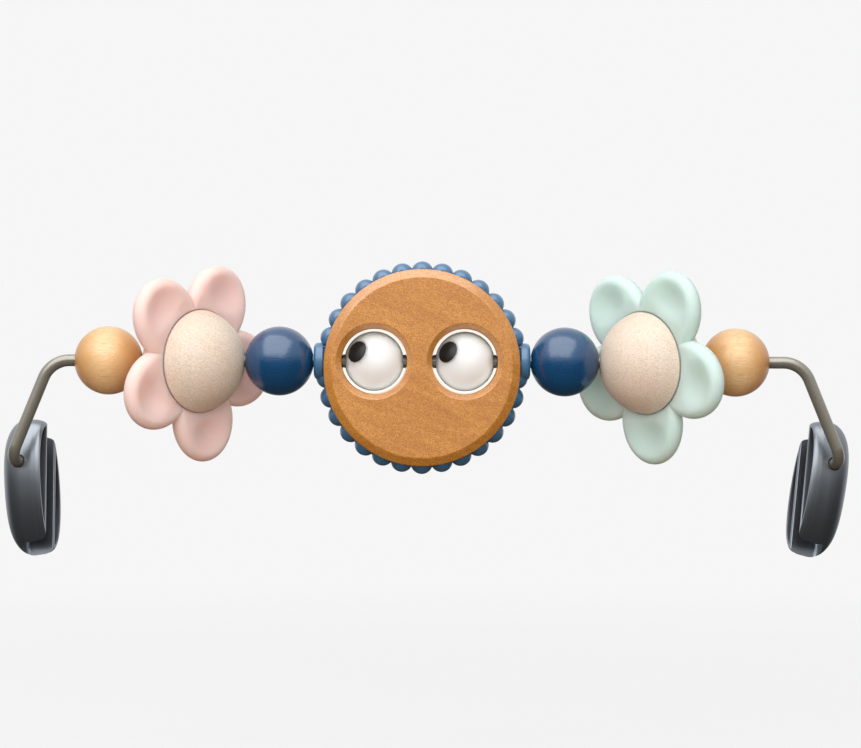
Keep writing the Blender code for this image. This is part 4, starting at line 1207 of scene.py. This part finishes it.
@dataclass
class Studio:
    """The pale floor, the lamps, the world and the camera."""

    lamps: tuple[Lamp, ...] = (
        Lamp("overhead", (-0.25, -0.80, 1.22), (2.4, 2.3), 37.5, (1.0, 1.0, 1.0), mirrored=True),
        Lamp("front", (0.0, -1.55, 0.0), (3.0, 1.2), 19.0, (1.0, 0.98, 0.95), mirrored=False),
    )
    lens: float = 125.42
    sensor: float = 36.0
    camera_offset: tuple[float, ...] = (0.002, -1.5, -0.00625)
    camera_roll: float = radians(-0.2)
    backdrop: Colour = grey(0.922)
    backdrop_light: Colour = grey(0.6454)
    low_shine: Colour = grey(0.03)
    high_shine: Colour = grey(0.85)
    room_below: Colour = (0.145, 0.125, 0.105)
    room_above: Colour = (0.16, 0.16, 0.165)
    behind_range: Pair = (0.10, 0.60)
    above_range: Pair = (-0.20, 0.60)
    horizon_range: Pair = (-0.02, 0.34)
    floor_drop: float = 0.10
    floor_radius: float = 1.3
    floor_fade: Pair = (0.325, 1.17)
    floor_sides: int = 96
    floor_roughness: float = 0.9
    floor_mirrored: Colour = grey(0.05)
    floor_bounce: Colour = (0.24, 0.15, 0.09)
    floor_shaded: Colour = grey(0.14)
    floor_glow: Colour = grey(0.765)

    def camera(self) -> None:
        """Sets the camera where the photograph was taken from."""
        data = bpy.data.cameras.new("camera")
        data.lens, data.sensor_width = self.lens, self.sensor
        camera = bpy.data.objects.new("camera", data)
        camera.location = ROD_MIDDLE + Vector(self.camera_offset)
        camera.rotation_euler = (radians(90), self.camera_roll, 0)
        bpy.context.collection.objects.link(camera)
        bpy.context.scene.camera = camera

    def world(self) -> None:
        """Lights the bar from a white backdrop behind it and a dim room in front.

        The camera sees the backdrop alone. Glossy and transmitted rays see it too, behind the bar. Elsewhere they
        see pale light overhead, which darkens to almost black at the horizon.
        """
        world = bpy.data.worlds.new("studio")
        world.use_nodes = True
        bpy.context.scene.world = world
        graph = NodeGraph(world.node_tree)
        way = graph.add("SeparateXYZ", {0: graph.add("TexCoord").outputs["Generated"]}).outputs
        behind = graph.spread(way["Y"], *self.behind_range)
        above = graph.spread(way["Z"], *self.above_range)
        horizon = graph.spread(way["Z"], *self.horizon_range)
        lit = graph.blend(behind, graph.blend(above, self.room_below, self.room_above), self.backdrop_light)
        mirrored = graph.blend(behind, graph.blend(horizon, self.low_shine, self.high_shine), self.backdrop)
        rays = graph.add("LightPath").outputs
        shown = graph.math("MAXIMUM", rays["Is Glossy Ray"], rays["Is Transmission Ray"])
        colour = graph.blend(rays["Is Camera Ray"], graph.blend(shown, lit, mirrored), self.backdrop)
        graph.fill(world.node_tree.nodes["Background"], {"Color": colour})

    def floor(self) -> None:
        """Lays a pale round floor that fades out at its edge."""
        mesh = bpy.data.meshes.new("floor")
        points = round_points(self.floor_radius, turns(self.floor_sides), CAD_BOX[0].z - self.floor_drop)
        mesh.from_pydata(points, [], [list(range(self.floor_sides))])
        floor = bpy.data.objects.new("floor", mesh)
        bpy.context.collection.objects.link(floor)
        material = bpy.data.materials.new("floor")
        material.use_nodes = True
        graph = NodeGraph(material.node_tree)
        rays = graph.add("LightPath").outputs
        seen = rays["Is Camera Ray"]
        bounce = graph.blend(rays["Is Diffuse Ray"], self.floor_mirrored, self.floor_bounce)
        flat = graph.math("MULTIPLY", graph.place(), (1.0, 1.0, 0.0), kind="VectorMath")
        reach = graph.add("VectorMath", {0: flat}, operation="LENGTH").outputs["Value"]
        graph.fill(material.node_tree.nodes["Principled BSDF"], {
            "Roughness": self.floor_roughness,
            "Specular IOR Level": 0.0,
            "Base Color": graph.blend(seen, bounce, self.floor_shaded),
            "Emission Color": graph.blend(seen, grey(0.0), self.floor_glow),
            "Emission Strength": 1.0,
            "Alpha": graph.spread(reach, *self.floor_fade, 1.0, 0.0),
        })
        mesh.materials.append(material)

    def build(self) -> None:
        """Sets up the whole studio."""
        bpy.context.scene.view_settings.view_transform = "Standard"
        self.camera()
        for lamp in self.lamps:
            lamp.hang()
        self.world()
        self.floor()


def main() -> None:
    """Builds the bar piece by piece, then the studio round it."""
    logging.basicConfig(level=logging.INFO, format="%(message)s")
    effects = Effects()
    rod = BentRod()
    parts = (
        rod,
        Beads(rod),
        Flower(Side.LEFT, rod, roll=radians(2.5), phase=radians(27)),
        Flower(Side.RIGHT, rod, roll=radians(6.8), phase=radians(29.2)),
        GooglyFace(rod),
        SeatClip(Side.LEFT, rod, swing=radians(3.9)),
        SeatClip(Side.RIGHT, rod, swing=radians(10)),
    )
    for part in parts:
        part.build(effects)
    Studio().build()


if __name__ == "__main__":
    main()
